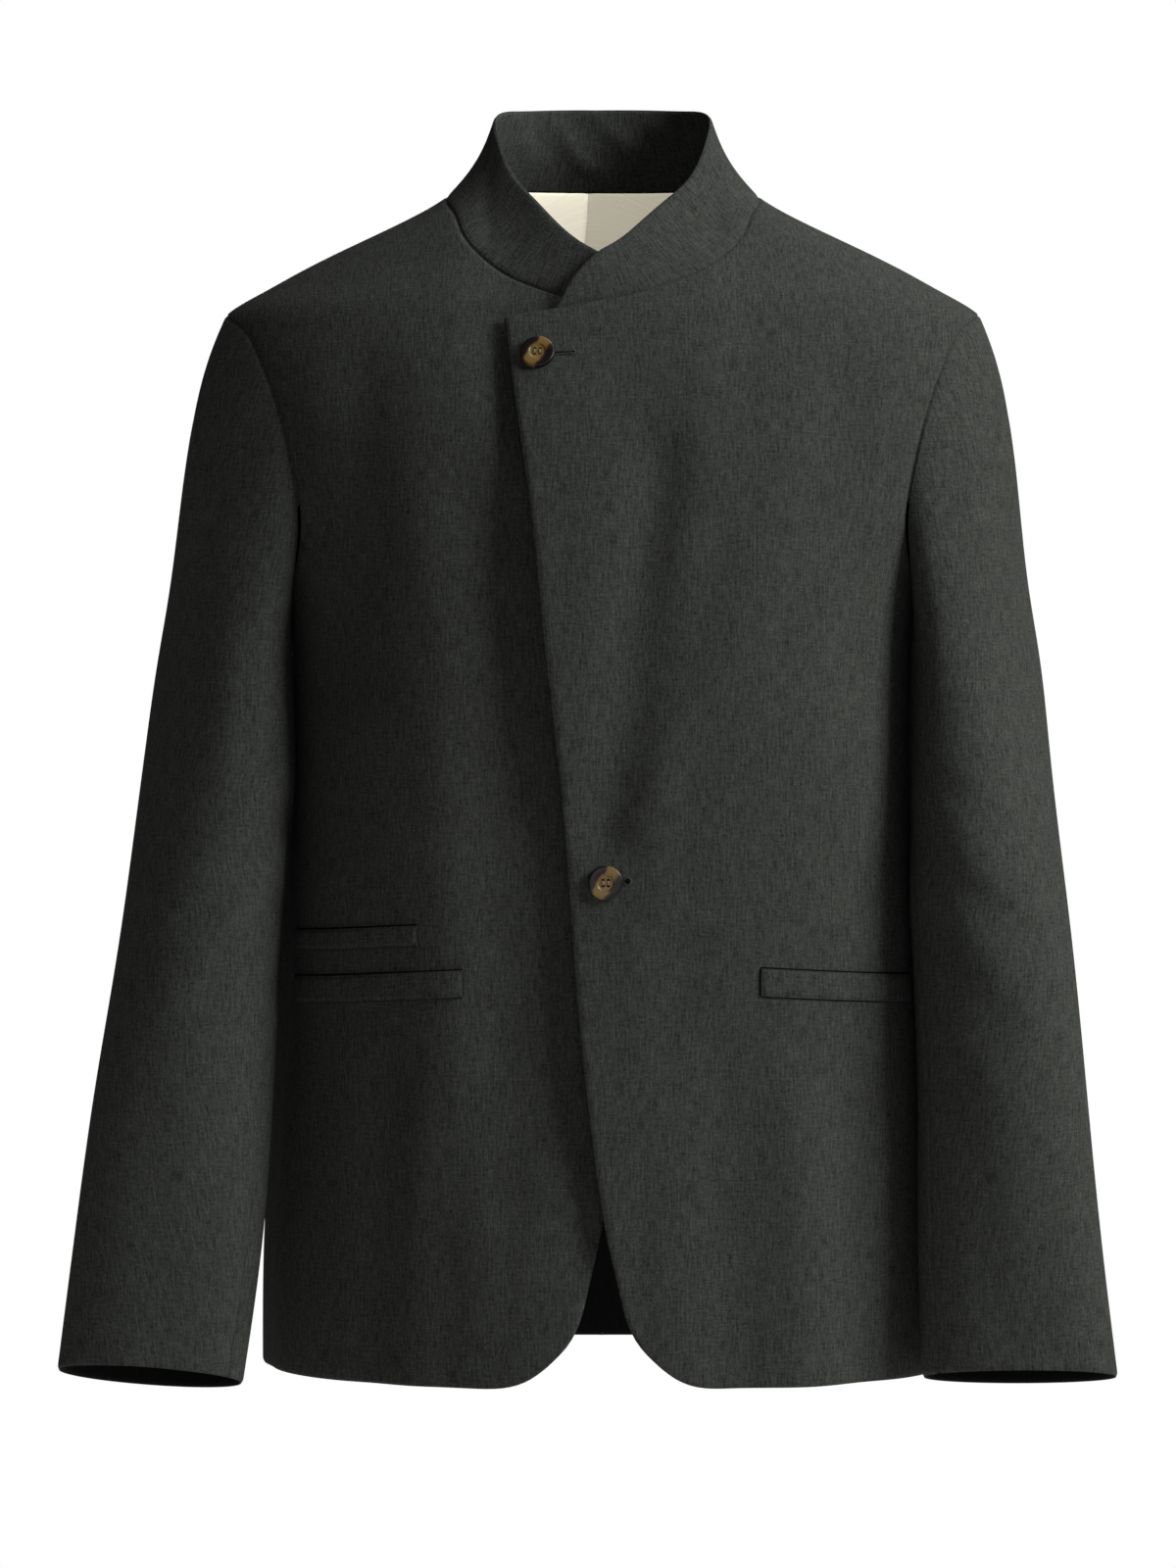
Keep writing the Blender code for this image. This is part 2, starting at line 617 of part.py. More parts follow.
def neck_seam(side):
    """Neck seam from centre back to the collar's front end, on the cloth's outside."""
    back_rows = np.arange(PANEL_ROWS - BACK_NECK_ROWS, PANEL_ROWS + 1)
    front_rows = np.arange(PANEL_ROWS - 1, PANEL_ROWS - FRONT_NECK_ROWS - 1, -1)
    back, _ = panel_points(BACK, side, np.zeros(len(back_rows)), back_rows / PANEL_ROWS)
    front, _ = panel_points(FRONT, side, np.zeros(len(front_rows)), front_rows / PANEL_ROWS)
    return np.concatenate([back, front])


def collar_half(side):
    """Outer points of half the collar, from centre back to its front end."""
    base = neck_seam(side)
    run = np.linspace(0.0, 1.0, len(base))
    table = columns(COLLAR_TOP)
    top = smooth_curve(table[:, 0], table[:, 1:], run)
    step = LAP_STEP * ease((run - COLLAR_LAP_START) / (COLLAR_LAP_FULL - COLLAR_LAP_START))
    top[:, 0] *= side
    top[:, 1] -= side * step
    along = unit(np.gradient(base, axis=0))
    rise = top - base
    square = rise - (rise * along).sum(axis=-1, keepdims=True) * along
    base = base + COLLAR_GAP * unit(square)
    up = np.linspace(0.0, 1.0, COLLAR_ROWS + 1)[:, None, None]
    return base + up * (top - base)


def grid_normal(grid):
    """Directions square to a grid of points, to its left as it is walked upward."""
    across = np.gradient(grid, axis=1)
    up = np.gradient(grid, axis=0)
    return unit(np.cross(across, up))


def make_collar():
    """The stand-up band, one wall from end to end."""
    right, left = collar_half(-1), collar_half(1)
    outer = np.concatenate([right[:, ::-1], left[:, 1:]], axis=1)
    outward = unit(np.cross(outer[-1] - outer[0], np.gradient(outer[0], axis=0)))
    inner = outer - COLLAR_CLOTH * outward
    wall("collar", outer, inner, finish("collar", WOOL, WOOL_ROUGH))


def sleeve_ring(section, side, turn):
    """An ellipse of the sleeve; turn 0 is the outer side, a quarter turn the front."""
    lean = math.radians(section.turn)
    out = section.half_width * np.cos(turn)
    fore = section.half_depth * np.sin(turn)
    x = section.across + out * math.cos(lean) - fore * math.sin(lean)
    y = -section.forward - out * math.sin(lean) - fore * math.cos(lean)
    z = section.height + fore * section.front_rise + out * section.outer_rise
    return np.stack([side * x, y, z], axis=-1)


def armhole_ring(side):
    """Armhole points from the shoulder tip down the front and up the back, with outward directions."""
    down = np.arange(SIDE_ROWS + ARMHOLE_ROWS, SIDE_ROWS - 1, -1) / PANEL_ROWS
    front, front_out = panel_points(FRONT, side, np.ones_like(down), down)
    back, back_out = panel_points(BACK, side, np.ones_like(down), down)
    points = np.concatenate([front, back[-2::-1]])
    outward = np.concatenate([front_out, back_out[-2::-1]])
    return points, outward


def sleeve_grid(side, sections, folds):
    """Outer points of a whole sleeve, ring by ring, and the armhole's outward directions."""
    turn = np.linspace(0.0, 2 * math.pi, 2 * ARMHOLE_ROWS + 1)
    start, outward = armhole_ring(side)
    start = start + np.array([side * SEAM_GAP, 0.0, 0.0])
    arm = [sleeve_ring(section, side, turn) for section in sections]
    outer_way = np.clip(np.cos(turn), 0.0, 1.0)[:, None] * np.array([side, 0.0, 0.0])
    head = start + HEAD_SHARE * (arm[0] - start) + HEAD_ROLL * outer_way
    cap = start + CAP_SHARE * (arm[0] - start) + CAP_ROLL * outer_way
    rings = np.stack([start, head, cap] + arm)
    places = [0.0]
    for i, count in enumerate(CAP_ROWS + (ARM_ROWS,) * (len(arm) - 1)):
        places += [i + (k + 1) / count for k in range(count)]
    grid = np.zeros((len(places), len(turn), 3))
    for j in range(len(turn)):
        column = rings[:, j]
        steps = np.linalg.norm(np.diff(column, axis=0), axis=1)
        knots = np.append(0.0, np.cumsum(steps))
        grid[:, j] = smooth_curve(knots, column, np.interp(places, np.arange(len(knots)), knots))
    return grid + sleeve_relief(grid, turn, folds), outward


def sleeve_relief(grid, turn, folds):
    """Outward shift of the sleeve's cloth for its folds."""
    centre = grid[:, :-1].mean(axis=1, keepdims=True)
    away = unit((grid - centre) * np.array([1.0, 1.0, 0.0]))
    girth = np.linalg.norm(grid - centre, axis=-1).mean(axis=1, keepdims=True)
    height = grid[..., 2]
    lift = np.zeros(height.shape)
    for fold in folds:
        along = np.clip((height - fold.height1) / (fold.height2 - fold.height1), 0.0, 1.0)
        middle = np.radians(fold.turn1 + along * (fold.turn2 - fold.turn1))
        past = height - np.clip(height, fold.height2, fold.height1)
        round_way = girth * np.angle(np.exp(1j * (turn - middle)))
        slope = girth * np.radians(fold.turn2 - fold.turn1) / (fold.height2 - fold.height1)
        aside = np.hypot(round_way / np.sqrt(1 + slope**2), past)
        lift += fold.depth * np.exp(-((aside / fold.breadth) ** 2))
    return lift[..., None] * away


def sleeve_outward(grid, side, start_outward):
    """Outward directions of the sleeve, led by the torso's where the two run on into each other."""
    open_ring = np.concatenate([grid[:, -2:-1], grid, grid[:, 1:2]], axis=1)
    own = side * grid_normal(open_ring)[:, 1:-1]
    agree = ease((own[0] * start_outward).sum(axis=-1) / HEAD_AGREE)[:, None]
    own[0] = unit(agree * start_outward + (1 - agree) * own[0])
    return own


def make_sleeve(name, side, sections, folds):
    """Top and under sleeve of one arm."""
    grid, start_outward = sleeve_grid(side, sections, folds)
    outward = sleeve_outward(grid, side, start_outward)
    last = 2 * ARMHOLE_ROWS
    under = np.arange(FOREARM_SEAM_COLUMN, HIND_SEAM_COLUMN + 1)
    top = np.arange(HIND_SEAM_COLUMN, last + FOREARM_SEAM_COLUMN + 1) % last
    for piece, picked in (("top", top), ("under", under)):
        outer = grid[:, picked].copy()
        for near, next_in in ((0, 1), (-1, -2)):
            outer[:, near] += SEAM_GAP / 2 * unit(outer[:, next_in] - outer[:, near])
        inner = outer - CLOTH * outward[:, picked]
        node = f"{name}_{piece}"
        wall(node, outer, inner, finish(node, WOOL, WOOL_ROUGH))


def make_lining(name, side):
    """Half of the upper-back lining, just inside the back's cloth."""
    s, t = unit_grid(LINING_COLUMNS, LINING_ROWS)
    s = s * LINING_COLUMNS / BACK_COLUMNS
    t = (SIDE_ROWS + t * LINING_ROWS) / PANEL_ROWS
    outer, normal = panel_points(BACK, side, s, t)
    outer = outer - (CLOTH + LINING_GAP) * normal
    outer[:, 0] += SEAM_GAP / 2 * unit(outer[:, 1] - outer[:, 0])
    neck = ARMHOLE_ROWS
    outer[neck, 0] += LINING_SHORT * unit(outer[neck - 1, 0] - outer[neck, 0])
    beside = outer[neck + 1 :]
    beside[:, 0] += LINING_SHORT * unit(beside[:, 1] - beside[:, 0])
    wall(name, outer, outer - LINING_CLOTH * normal, finish(name, LINING_COLOUR, LINING_ROUGH))


def front_surface(x, height, side):
    """Points of a front's outside and the outward directions there, by x and height."""
    angle = body_angle(x, height)
    normal = body_normal(angle, height)
    lift = body_relief(angle, height, side)[..., None]
    return body_point(angle, height) + normal * lift, normal


def make_welt(welt):
    """A pocket welt lying on its front."""
    along, down = unit_grid(WELT_COLUMNS, WELT_ROWS)
    x = welt.x1 + along * (welt.x2 - welt.x1)
    height = welt.height1 + along * (welt.height2 - welt.height1) - down * welt.drop
    points, normal = front_surface(x, height, math.copysign(1.0, welt.x1))
    under = points + WELT_STANDOFF * normal
    wall(welt.name, under + WELT_CLOTH * normal, under, finish(welt.name, WOOL, WOOL_ROUGH))


def make_button(button):
    """A dished four-hole button on the left front."""
    point, normal = front_surface(np.array(button.x), np.array(button.height), 1.0)
    turned = bmesh.new()
    profile = (
        (0.0, 0.0),
        (BUTTON_RADIUS - BUTTON_EDGE, 0.0),
        (BUTTON_RADIUS, BUTTON_EDGE),
        (BUTTON_RADIUS, BUTTON_THICK - BUTTON_EDGE),
        (BUTTON_RADIUS - BUTTON_EDGE, BUTTON_THICK),
        (BUTTON_RADIUS - BUTTON_RIM, BUTTON_THICK),
        (BUTTON_RADIUS - BUTTON_RIM - BUTTON_DISH, BUTTON_THICK - BUTTON_DISH),
        (0.0, BUTTON_THICK - BUTTON_DISH),
    )
    line = [turned.verts.new((radius, 0.0, z)) for radius, z in profile]
    edges = [turned.edges.new(pair) for pair in zip(line[:-1], line[1:])]
    bmesh.ops.spin(
        turned, geom=line + edges, cent=(0, 0, 0), axis=(0, 0, 1), angle=2 * math.pi, steps=BUTTON_SIDES
    )
    bmesh.ops.remove_doubles(turned, verts=turned.verts, dist=MERGE)
    bmesh.ops.recalc_face_normals(turned, faces=turned.faces)
    thing = placed(button.name, turned, finish(button.name, BUTTON_COLOUR, BUTTON_ROUGH))
    reach = THREAD_HOLE_PLACE * math.sqrt(2)
    for i in range(THREAD_HOLES):
        turn = 2 * math.pi * (i + 0.5) / THREAD_HOLES
        hole = bmesh.new()
        bmesh.ops.create_cone(
            hole,
            cap_ends=True,
            segments=THREAD_HOLE_SIDES,
            radius1=THREAD_HOLE_RADIUS,
            radius2=THREAD_HOLE_RADIUS,
            depth=4 * BUTTON_THICK,
            matrix=Matrix.Translation((reach * math.cos(turn), reach * math.sin(turn), 0.0)),
        )
        cutter = placed(f"{button.name}_hole_{i + 1}", hole, thing.data.materials[0])
        cutter.hide_render = True
        cutter.display_type = "WIRE"
        cutter.parent = thing
        cut = thing.modifiers.new(f"thread_hole_{i + 1}", "BOOLEAN")
        cut.operation = "DIFFERENCE"
        cut.object = cutter
    thing.location = Vector(point + BUTTON_STANDOFF * normal)
    thing.rotation_euler = Vector(normal).to_track_quat("Z", "Y").to_euler()


def main():
    for thing in list(bpy.data.objects):
        bpy.data.objects.remove(thing, do_unlink=True)
    for name, side in (("left", 1), ("right", -1)):
        make_panel(f"front_{name}", FRONT, side, FRONT_COLUMNS, EDGE_CLOSENESS)
        make_panel(f"back_{name}", BACK, side, BACK_COLUMNS)
        make_lining(f"back_lining_{name}", side)
    make_sleeve("sleeve_left", 1, SLEEVE_LEFT, SLEEVE_LEFT_FOLDS)
    make_sleeve("sleeve_right", -1, SLEEVE_RIGHT, SLEEVE_RIGHT_FOLDS)
    make_collar()
    for welt in WELTS:
        make_welt(welt)
    for button in BUTTONS:
        make_button(button)


main()
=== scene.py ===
"""Mandarin collar blazer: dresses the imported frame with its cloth, trim and studio.

Units are metres. +Z is up, the front faces -Y and the wearer's left is +X. Every cloth piece
repeats the form of its solid at a finer step, with its seams, pressed edges and creases.
"""

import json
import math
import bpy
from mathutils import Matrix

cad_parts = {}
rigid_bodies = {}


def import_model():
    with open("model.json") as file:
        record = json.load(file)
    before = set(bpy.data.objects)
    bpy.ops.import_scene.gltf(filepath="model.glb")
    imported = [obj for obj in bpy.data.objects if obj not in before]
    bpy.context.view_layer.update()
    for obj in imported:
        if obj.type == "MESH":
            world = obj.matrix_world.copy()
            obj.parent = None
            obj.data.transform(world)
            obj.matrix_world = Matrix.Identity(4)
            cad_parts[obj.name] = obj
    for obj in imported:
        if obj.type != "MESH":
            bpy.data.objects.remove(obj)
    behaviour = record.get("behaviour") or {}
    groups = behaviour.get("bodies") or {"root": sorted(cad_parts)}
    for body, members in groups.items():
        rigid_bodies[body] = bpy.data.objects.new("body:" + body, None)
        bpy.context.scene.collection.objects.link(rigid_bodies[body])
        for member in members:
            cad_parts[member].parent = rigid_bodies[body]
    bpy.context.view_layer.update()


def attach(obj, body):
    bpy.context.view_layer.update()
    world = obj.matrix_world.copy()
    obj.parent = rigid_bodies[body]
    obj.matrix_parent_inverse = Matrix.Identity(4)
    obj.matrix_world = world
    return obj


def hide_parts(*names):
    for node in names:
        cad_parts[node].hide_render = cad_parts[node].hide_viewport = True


bl_info = {
    "name": "Mandarin collar blazer",
    "version": (1, 0, 0),
    "blender": (4, 5, 0),
    "location": "View3D > Sidebar > Blazer",
    "description": "Builds the blazer's cloth, buttons, sewing and studio on its packed frame",
    "category": "Add Mesh",
}

from collections import namedtuple

import bmesh
import bpy
import numpy as np
from mathutils import Matrix, Vector

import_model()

# Cloth
CLOTH = 0.0020
COLLAR_CLOTH = 0.0026
LINING_CLOTH = 0.0010
LINING_GAP = 0.0008
WELT_CLOTH = 0.0014
SEAM_GAP = 0.0003
LAP_STEP = 0.0025
LAP_FADE = 0.034

# Neck, shoulder, armhole and hem
NECK_POINT_HEIGHT = -0.004
SHOULDER_TIP_HEIGHT = -0.077
UNDERARM_HEIGHT = -0.250
HEM_HEIGHT = -0.7175
CHEST_EDGE_HEIGHT = -0.270

# The solids' rows, which share out the borders of a panel
SIDE_ROWS = 14
ARMHOLE_ROWS = 12
SHOULDER_ROWS = 5
EDGE_ROWS = 7
LAP_ROWS = 2
FRONT_NECK_ROWS = ARMHOLE_ROWS + SHOULDER_ROWS - EDGE_ROWS - LAP_ROWS
BACK_NECK_ROWS = SHOULDER_ROWS
PANEL_ROWS = SIDE_ROWS + ARMHOLE_ROWS + SHOULDER_ROWS
BACK_COLUMNS = 9
HEM_CURVE_SHARE = 0.12
LINING_SHORT = 0.0025
LINING_SHIFT = 0.0062
LINING_SHIFT_TURN = math.radians(50.0)
LINE_SAMPLES = 120
FINE_SAMPLES = 6 * LINE_SAMPLES

# The cloth's finer steps
FINER = 6
PANEL_FINE_ROWS = 220
FRONT_FINE_COLUMNS = 62
BACK_FINE_COLUMNS = 52
COLLAR_FINE_ROWS = 14
EDGE_STEPS = (0.0, 0.004, 0.010, 0.018, 0.028, 0.040)
HEM_STEPS = (0.0, 0.0012, 0.0028, 0.0050, 0.0080, 0.0120)
CUFF_STEPS = (0.0, 0.006, 0.016, 0.032, 0.060)
APEX_SHORT = 0.0015
LINING_FINE_COLUMNS = 40
LINING_FINE_ROWS = 80
GRAIN_TURNS = 60
GRAIN_LEVELS = 180
GRAIN_END = 1 - 1e-5

# Seams sink and free edges are pressed round
SEAM_WIDTH = 0.0013
EDGE_ROLL = 0.0008
EDGE_WIDTH = 0.0010

# How far the middle of the cloth runs on past its borders: into a seam, or round a free edge
SEAM_RUN_ON = 0.0008
ARMHOLE_RUN_ON = 0.0016
NECK_RUN_ON = 0.0016
EDGE_RUN_ON = 0.0004

# The torso, section by section: superellipses with their own front and back
BodySection = namedtuple("BodySection", "height half_width front_depth back_depth front_power back_power")
BODY = (
    BodySection(-0.7175, 0.2080, 0.1300, 0.1220, 2.40, 2.40),
    BodySection(-0.6500, 0.2075, 0.1275, 0.1190, 2.40, 2.40),
    BodySection(-0.6000, 0.2050, 0.1250, 0.1170, 2.40, 2.40),
    BodySection(-0.5400, 0.2005, 0.1225, 0.1130, 2.40, 2.40),
    BodySection(-0.4800, 0.1955, 0.1210, 0.1095, 2.40, 2.40),
    BodySection(-0.4200, 0.1905, 0.1220, 0.1080, 2.40, 2.40),
    BodySection(-0.3600, 0.1885, 0.1255, 0.1110, 2.38, 2.38),
    BodySection(-0.3000, 0.1890, 0.1285, 0.1170, 2.35, 2.35),
    BodySection(-0.2500, 0.1940, 0.1285, 0.1205, 2.32, 2.32),
    BodySection(-0.2200, 0.2035, 0.1270, 0.1205, 2.28, 2.28),
    BodySection(-0.1800, 0.220, 0.1215, 0.1170, 2.22, 2.22),
    BodySection(-0.1400, 0.234, 0.1110, 0.1100, 2.15, 2.15),
    BodySection(-0.1100, 0.2395, 0.0985, 0.1025, 2.08, 2.08),
    BodySection(-0.0900, 0.2370, 0.0885, 0.0970, 2.02, 2.02),
    BodySection(-0.0770, 0.2285, 0.0810, 0.0920, 2.00, 2.00),
    BodySection(-0.0650, 0.2085, 0.0725, 0.0875, 2.00, 2.00),
    BodySection(-0.0530, 0.1870, 0.0640, 0.0825, 2.00, 2.00),
    BodySection(-0.0350, 0.1510, 0.0525, 0.0745, 2.00, 2.00),
    BodySection(-0.0170, 0.1140, 0.0400, 0.0665, 2.00, 2.00),
    BodySection(-0.0040, 0.0935, 0.0300, 0.0610, 2.00, 2.00),
    BodySection(0.0060, 0.0850, 0.0240, 0.0570, 2.00, 2.00),
    BodySection(0.0160, 0.0790, 0.0180, 0.0540, 2.00, 2.00),
)

# The cut lines of a front, as seen from the front, with x positive away from the lap
CutPoint = namedtuple("CutPoint", "x height")
FRONT_EDGE = (
    CutPoint(0.0338, -0.7054),
    CutPoint(0.0229, -0.6945),
    CutPoint(0.0156, -0.6820),
    CutPoint(0.0100, -0.6620),
    CutPoint(0.0025, -0.6290),
    CutPoint(-0.0049, -0.5820),
    CutPoint(-0.0133, -0.5070),
    CutPoint(-0.0199, -0.4225),
    CutPoint(-0.0234, -0.3765),
    CutPoint(-0.0334, -0.2850),
    CutPoint(-0.0420, -0.2025),
    CutPoint(-0.0503, -0.1465),
    CutPoint(-0.0578, -0.0892),
)
FRONT_HEM = (
    CutPoint(0.0338, -0.7054),
    CutPoint(0.0415, -0.7110),
    CutPoint(0.0502, -0.7150),
    CutPoint(0.0600, -0.7170),
    CutPoint(0.0750, HEM_HEIGHT),
    CutPoint(0.1200, HEM_HEIGHT),
    CutPoint(0.1700, HEM_HEIGHT),
)
LAP_NECK = (
    CutPoint(-0.0578, -0.0892),
    CutPoint(-0.0440, -0.0870),
    CutPoint(-0.0300, -0.0845),
)
FRONT_NECK = (
    CutPoint(-0.0300, -0.0845),
    CutPoint(-0.0138, -0.0812),
    CutPoint(0.0026, -0.0785),
    CutPoint(0.0190, -0.0750),
    CutPoint(0.0370, -0.0690),
    CutPoint(0.0570, -0.0600),
    CutPoint(0.0730, -0.0480),
    CutPoint(0.0860, -0.0310),
    CutPoint(0.0915, -0.0170),
)
FRONT_ARMHOLE = (
    CutPoint(0.1880, -0.2420),
    CutPoint(0.1832, -0.2270),
    CutPoint(0.1812, -0.2050),
    CutPoint(0.1848, -0.1780),
    CutPoint(0.1938, -0.1420),
    CutPoint(0.2060, -0.1100),
    CutPoint(0.2175, -0.0900),
)
BACK_ARMHOLE = (
    CutPoint(0.1890, -0.2400),
    CutPoint(0.1870, -0.2190),
    CutPoint(0.1880, -0.1900),
    CutPoint(0.1945, -0.1550),
    CutPoint(0.2050, -0.1200),
    CutPoint(0.2170, -0.0930),
)
NeckTurn = namedtuple("NeckTurn", "angle height")
BACK_NECK = (
    NeckTurn(180.0, 0.0060),
    NeckTurn(150.0, 0.0055),
    NeckTurn(120.0, 0.0030),
    NeckTurn(90.0, NECK_POINT_HEIGHT),
)

# The collar's upper edge on the left half; run goes along the neck seam from centre back
CollarTop = namedtuple("CollarTop", "run x y z")
COLLAR_TOP = (
    CollarTop(0.000, 0.0000, 0.0460, 0.0545),
    CollarTop(0.120, 0.0280, 0.0435, 0.0540),
    CollarTop(0.250, 0.0520, 0.0300, 0.0515),
    CollarTop(0.385, 0.0665, 0.0030, 0.0430),
    CollarTop(0.460, 0.0640, -0.0140, 0.0280),
    CollarTop(0.540, 0.0555, -0.0290, 0.0060),
    CollarTop(0.620, 0.0425, -0.0420, -0.0100),
    CollarTop(0.700, 0.0300, -0.0530, -0.0230),
    CollarTop(0.780, 0.0175, -0.0625, -0.0355),
    CollarTop(0.860, 0.0060, -0.0695, -0.0440),
    CollarTop(0.904, -0.0010, -0.0730, -0.0485),
    CollarTop(0.940, -0.0095, -0.0765, -0.0560),
    CollarTop(0.970, -0.0195, -0.0800, -0.0670),
    CollarTop(1.000, -0.0272, -0.0830, -0.0812),
)
COLLAR_LAP_START = 0.36
COLLAR_LAP_FULL = 0.58
COLLAR_BOW = 0.0036
BOW_FULL = 0.52
BOW_END = 0.80
MOUTH_SHIFT = 0.0026
MOUTH_START = 0.55
MOUTH_FULL = 0.75
MOUTH_FADE = 0.90

# Soft creases of the collar; run goes from its right end, -1, to its left, and up from the neck seam
CollarFold = namedtuple("CollarFold", "run1 up1 run2 up2 breadth depth")
COLLAR_FOLDS = (
    CollarFold(-0.130, 0.85, -0.030, 0.28, 0.0060, -0.0017),
    CollarFold(-0.020, 0.95, 0.055, 0.58, 0.0055, -0.0015),
    CollarFold(-0.080, 0.40, 0.015, 0.14, 0.0050, -0.0010),
    CollarFold(-0.255, 0.92, -0.185, 0.45, 0.0060, -0.0013),
    CollarFold(0.140, 0.80, 0.230, 0.30, 0.0065, -0.0013),
    CollarFold(-0.610, 0.25, -0.500, 0.62, 0.0060, -0.0007),
    CollarFold(0.520, 0.60, 0.630, 0.25, 0.0065, -0.0007),
)
COLLAR_HALF_LENGTH = 0.27
COLLAR_STAND = 0.05
COLLAR_CREASE_POWER = 0.5
COLLAR_MIRROR_ROWS = 3

# Sleeve sections below the cap: turned ellipses whose planes may tip
SleeveSection = namedtuple(
    "SleeveSection", "height across forward half_width half_depth turn front_rise outer_rise"
)
SLEEVE_LEFT = (
    SleeveSection(-0.2750, 0.2270, 0.0150, 0.0320, 0.0740, 22.0, 0.00, 0.00),
    SleeveSection(-0.3600, 0.2298, 0.0330, 0.0390, 0.0670, 22.0, 0.00, 0.00),
    SleeveSection(-0.4500, 0.2325, 0.0560, 0.0470, 0.0570, 15.0, 0.05, 0.00),
    SleeveSection(-0.5400, 0.2371, 0.0710, 0.0500, 0.0480, 8.0, 0.10, 0.00),
    SleeveSection(-0.6300, 0.2405, 0.0830, 0.0540, 0.0385, 3.0, 0.18, 0.00),
    SleeveSection(-0.7150, 0.2463, 0.0910, 0.0576, 0.0310, 0.0, 0.26, 0.00),
)
SLEEVE_RIGHT = (
    SleeveSection(-0.2750, 0.2295, 0.0140, 0.0355, 0.0740, 20.0, 0.00, 0.00),
    SleeveSection(-0.3600, 0.2328, 0.0290, 0.0440, 0.0670, 22.0, 0.00, 0.01),
    SleeveSection(-0.4500, 0.2400, 0.0450, 0.0490, 0.0580, 18.0, 0.06, 0.02),
    SleeveSection(-0.5400, 0.2495, 0.0600, 0.0528, 0.0480, 9.0, 0.12, 0.04),
    SleeveSection(-0.6300, 0.2580, 0.0720, 0.0555, 0.0380, 3.0, 0.22, 0.06),
    SleeveSection(-0.7165, 0.2690, 0.0780, 0.0550, 0.0310, 0.0, 0.31, 0.07),
)
CAP_ROWS = (2, 4, 4)
ARM_ROWS = 3
HEAD_SHARE = 0.09
CAP_SHARE = 0.55
HEAD_ROLL = 0.0045
CAP_ROLL = 0.0075
HEAD_AGREE = 0.5
FOREARM_SEAM_COLUMN = 10
HIND_SEAM_COLUMN = 20

# Soft folds of the fronts and backs, largest first; depth is negative for a trough
Fold = namedtuple("Fold", "x1 height1 x2 height2 breadth depth")
FRONT_LEFT_FOLDS = (
    Fold(0.012, -0.385, 0.078, -0.235, 0.020, -0.0042),
    Fold(0.020, -0.140, 0.030, -0.300, 0.030, -0.0025),
    Fold(0.070, -0.530, 0.078, -0.720, 0.020, -0.0034),
    Fold(0.112, -0.560, 0.120, -0.720, 0.018, 0.0030),
    Fold(0.150, -0.540, 0.156, -0.720, 0.017, -0.0032),
    Fold(0.140, -0.130, 0.150, -0.300, 0.022, -0.0030),
    Fold(0.016, -0.412, 0.060, -0.345, 0.009, -0.0009),
    Fold(0.014, -0.440, 0.052, -0.470, 0.009, -0.0007),
    Fold(0.128, -0.205, 0.104, -0.292, 0.010, -0.0010),
    Fold(0.152, -0.236, 0.122, -0.345, 0.011, 0.0008),
    Fold(0.032, -0.560, 0.040, -0.690, 0.013, 0.0010),
    Fold(0.092, -0.500, 0.098, -0.640, 0.011, -0.0008),
    Fold(0.120, -0.385, 0.150, -0.425, 0.010, -0.0008),
    Fold(0.034, -0.175, 0.002, -0.395, 0.017, -0.0048),
    Fold(0.018, -0.385, 0.084, -0.235, 0.018, 0.0040),
)
FRONT_RIGHT_FOLDS = (
    Fold(-0.050, -0.220, -0.045, -0.560, 0.026, -0.0040),
    Fold(-0.090, -0.300, -0.080, -0.620, 0.024, 0.0022),
    Fold(-0.128, -0.540, -0.138, -0.720, 0.020, -0.0034),
    Fold(-0.088, -0.560, -0.094, -0.720, 0.018, -0.0024),
    Fold(-0.142, -0.130, -0.152, -0.300, 0.022, -0.0030),
    Fold(-0.066, -0.105, -0.040, -0.190, 0.012, -0.0010),
    Fold(-0.030, -0.330, -0.062, -0.260, 0.010, -0.0009),
    Fold(-0.028, -0.455, -0.066, -0.520, 0.011, -0.0009),
    Fold(-0.130, -0.215, -0.102, -0.300, 0.011, -0.0010),
    Fold(-0.150, -0.300, -0.128, -0.392, 0.012, 0.0009),
    Fold(-0.110, -0.520, -0.116, -0.640, 0.011, 0.0008),
    Fold(-0.056, -0.600, -0.062, -0.705, 0.012, -0.0010),
    Fold(-0.074, -0.200, -0.068, -0.600, 0.024, -0.0032),
    Fold(0.034, -0.175, 0.002, -0.395, 0.017, -0.0048),
    Fold(-0.168, -0.520, -0.172, -0.720, 0.060, -0.0070),
)
BACK_FOLDS = (
    Fold(0.125, -0.130, 0.140, -0.330, 0.020, -0.0036),
    Fold(-0.125, -0.120, -0.142, -0.310, 0.022, -0.0040),
    Fold(0.070, -0.400, 0.092, -0.720, 0.024, 0.0032),
    Fold(-0.060, -0.420, -0.085, -0.720, 0.026, 0.0036),
    Fold(0.128, -0.520, 0.140, -0.720, 0.018, -0.0028),
    Fold(-0.126, -0.500, -0.142, -0.720, 0.020, -0.0030),
    Fold(0.040, -0.030, 0.110, -0.062, 0.012, -0.0010),
    Fold(-0.046, -0.034, -0.112, -0.060, 0.013, -0.0012),
    Fold(0.100, -0.180, 0.122, -0.290, 0.011, 0.0010),
    Fold(-0.098, -0.165, -0.126, -0.270, 0.012, 0.0011),
    Fold(0.036, -0.330, 0.104, -0.392, 0.011, -0.0009),
    Fold(-0.030, -0.345, -0.112, -0.400, 0.012, -0.0010),
    Fold(0.046, -0.470, 0.052, -0.640, 0.014, -0.0010),
    Fold(-0.104, -0.450, -0.112, -0.600, 0.013, -0.0009),
)
SEAM_CALM = math.radians(14.0)

# Fullness of the cloth just behind the side seams at the waist
SIDE_FULL = 0.0075
SIDE_FULL_HEIGHT = -0.455
SIDE_FULL_REACH = 0.085
SIDE_FULL_MIDDLE = math.radians(100.0)
SIDE_FULL_TURN = math.radians(14.0)

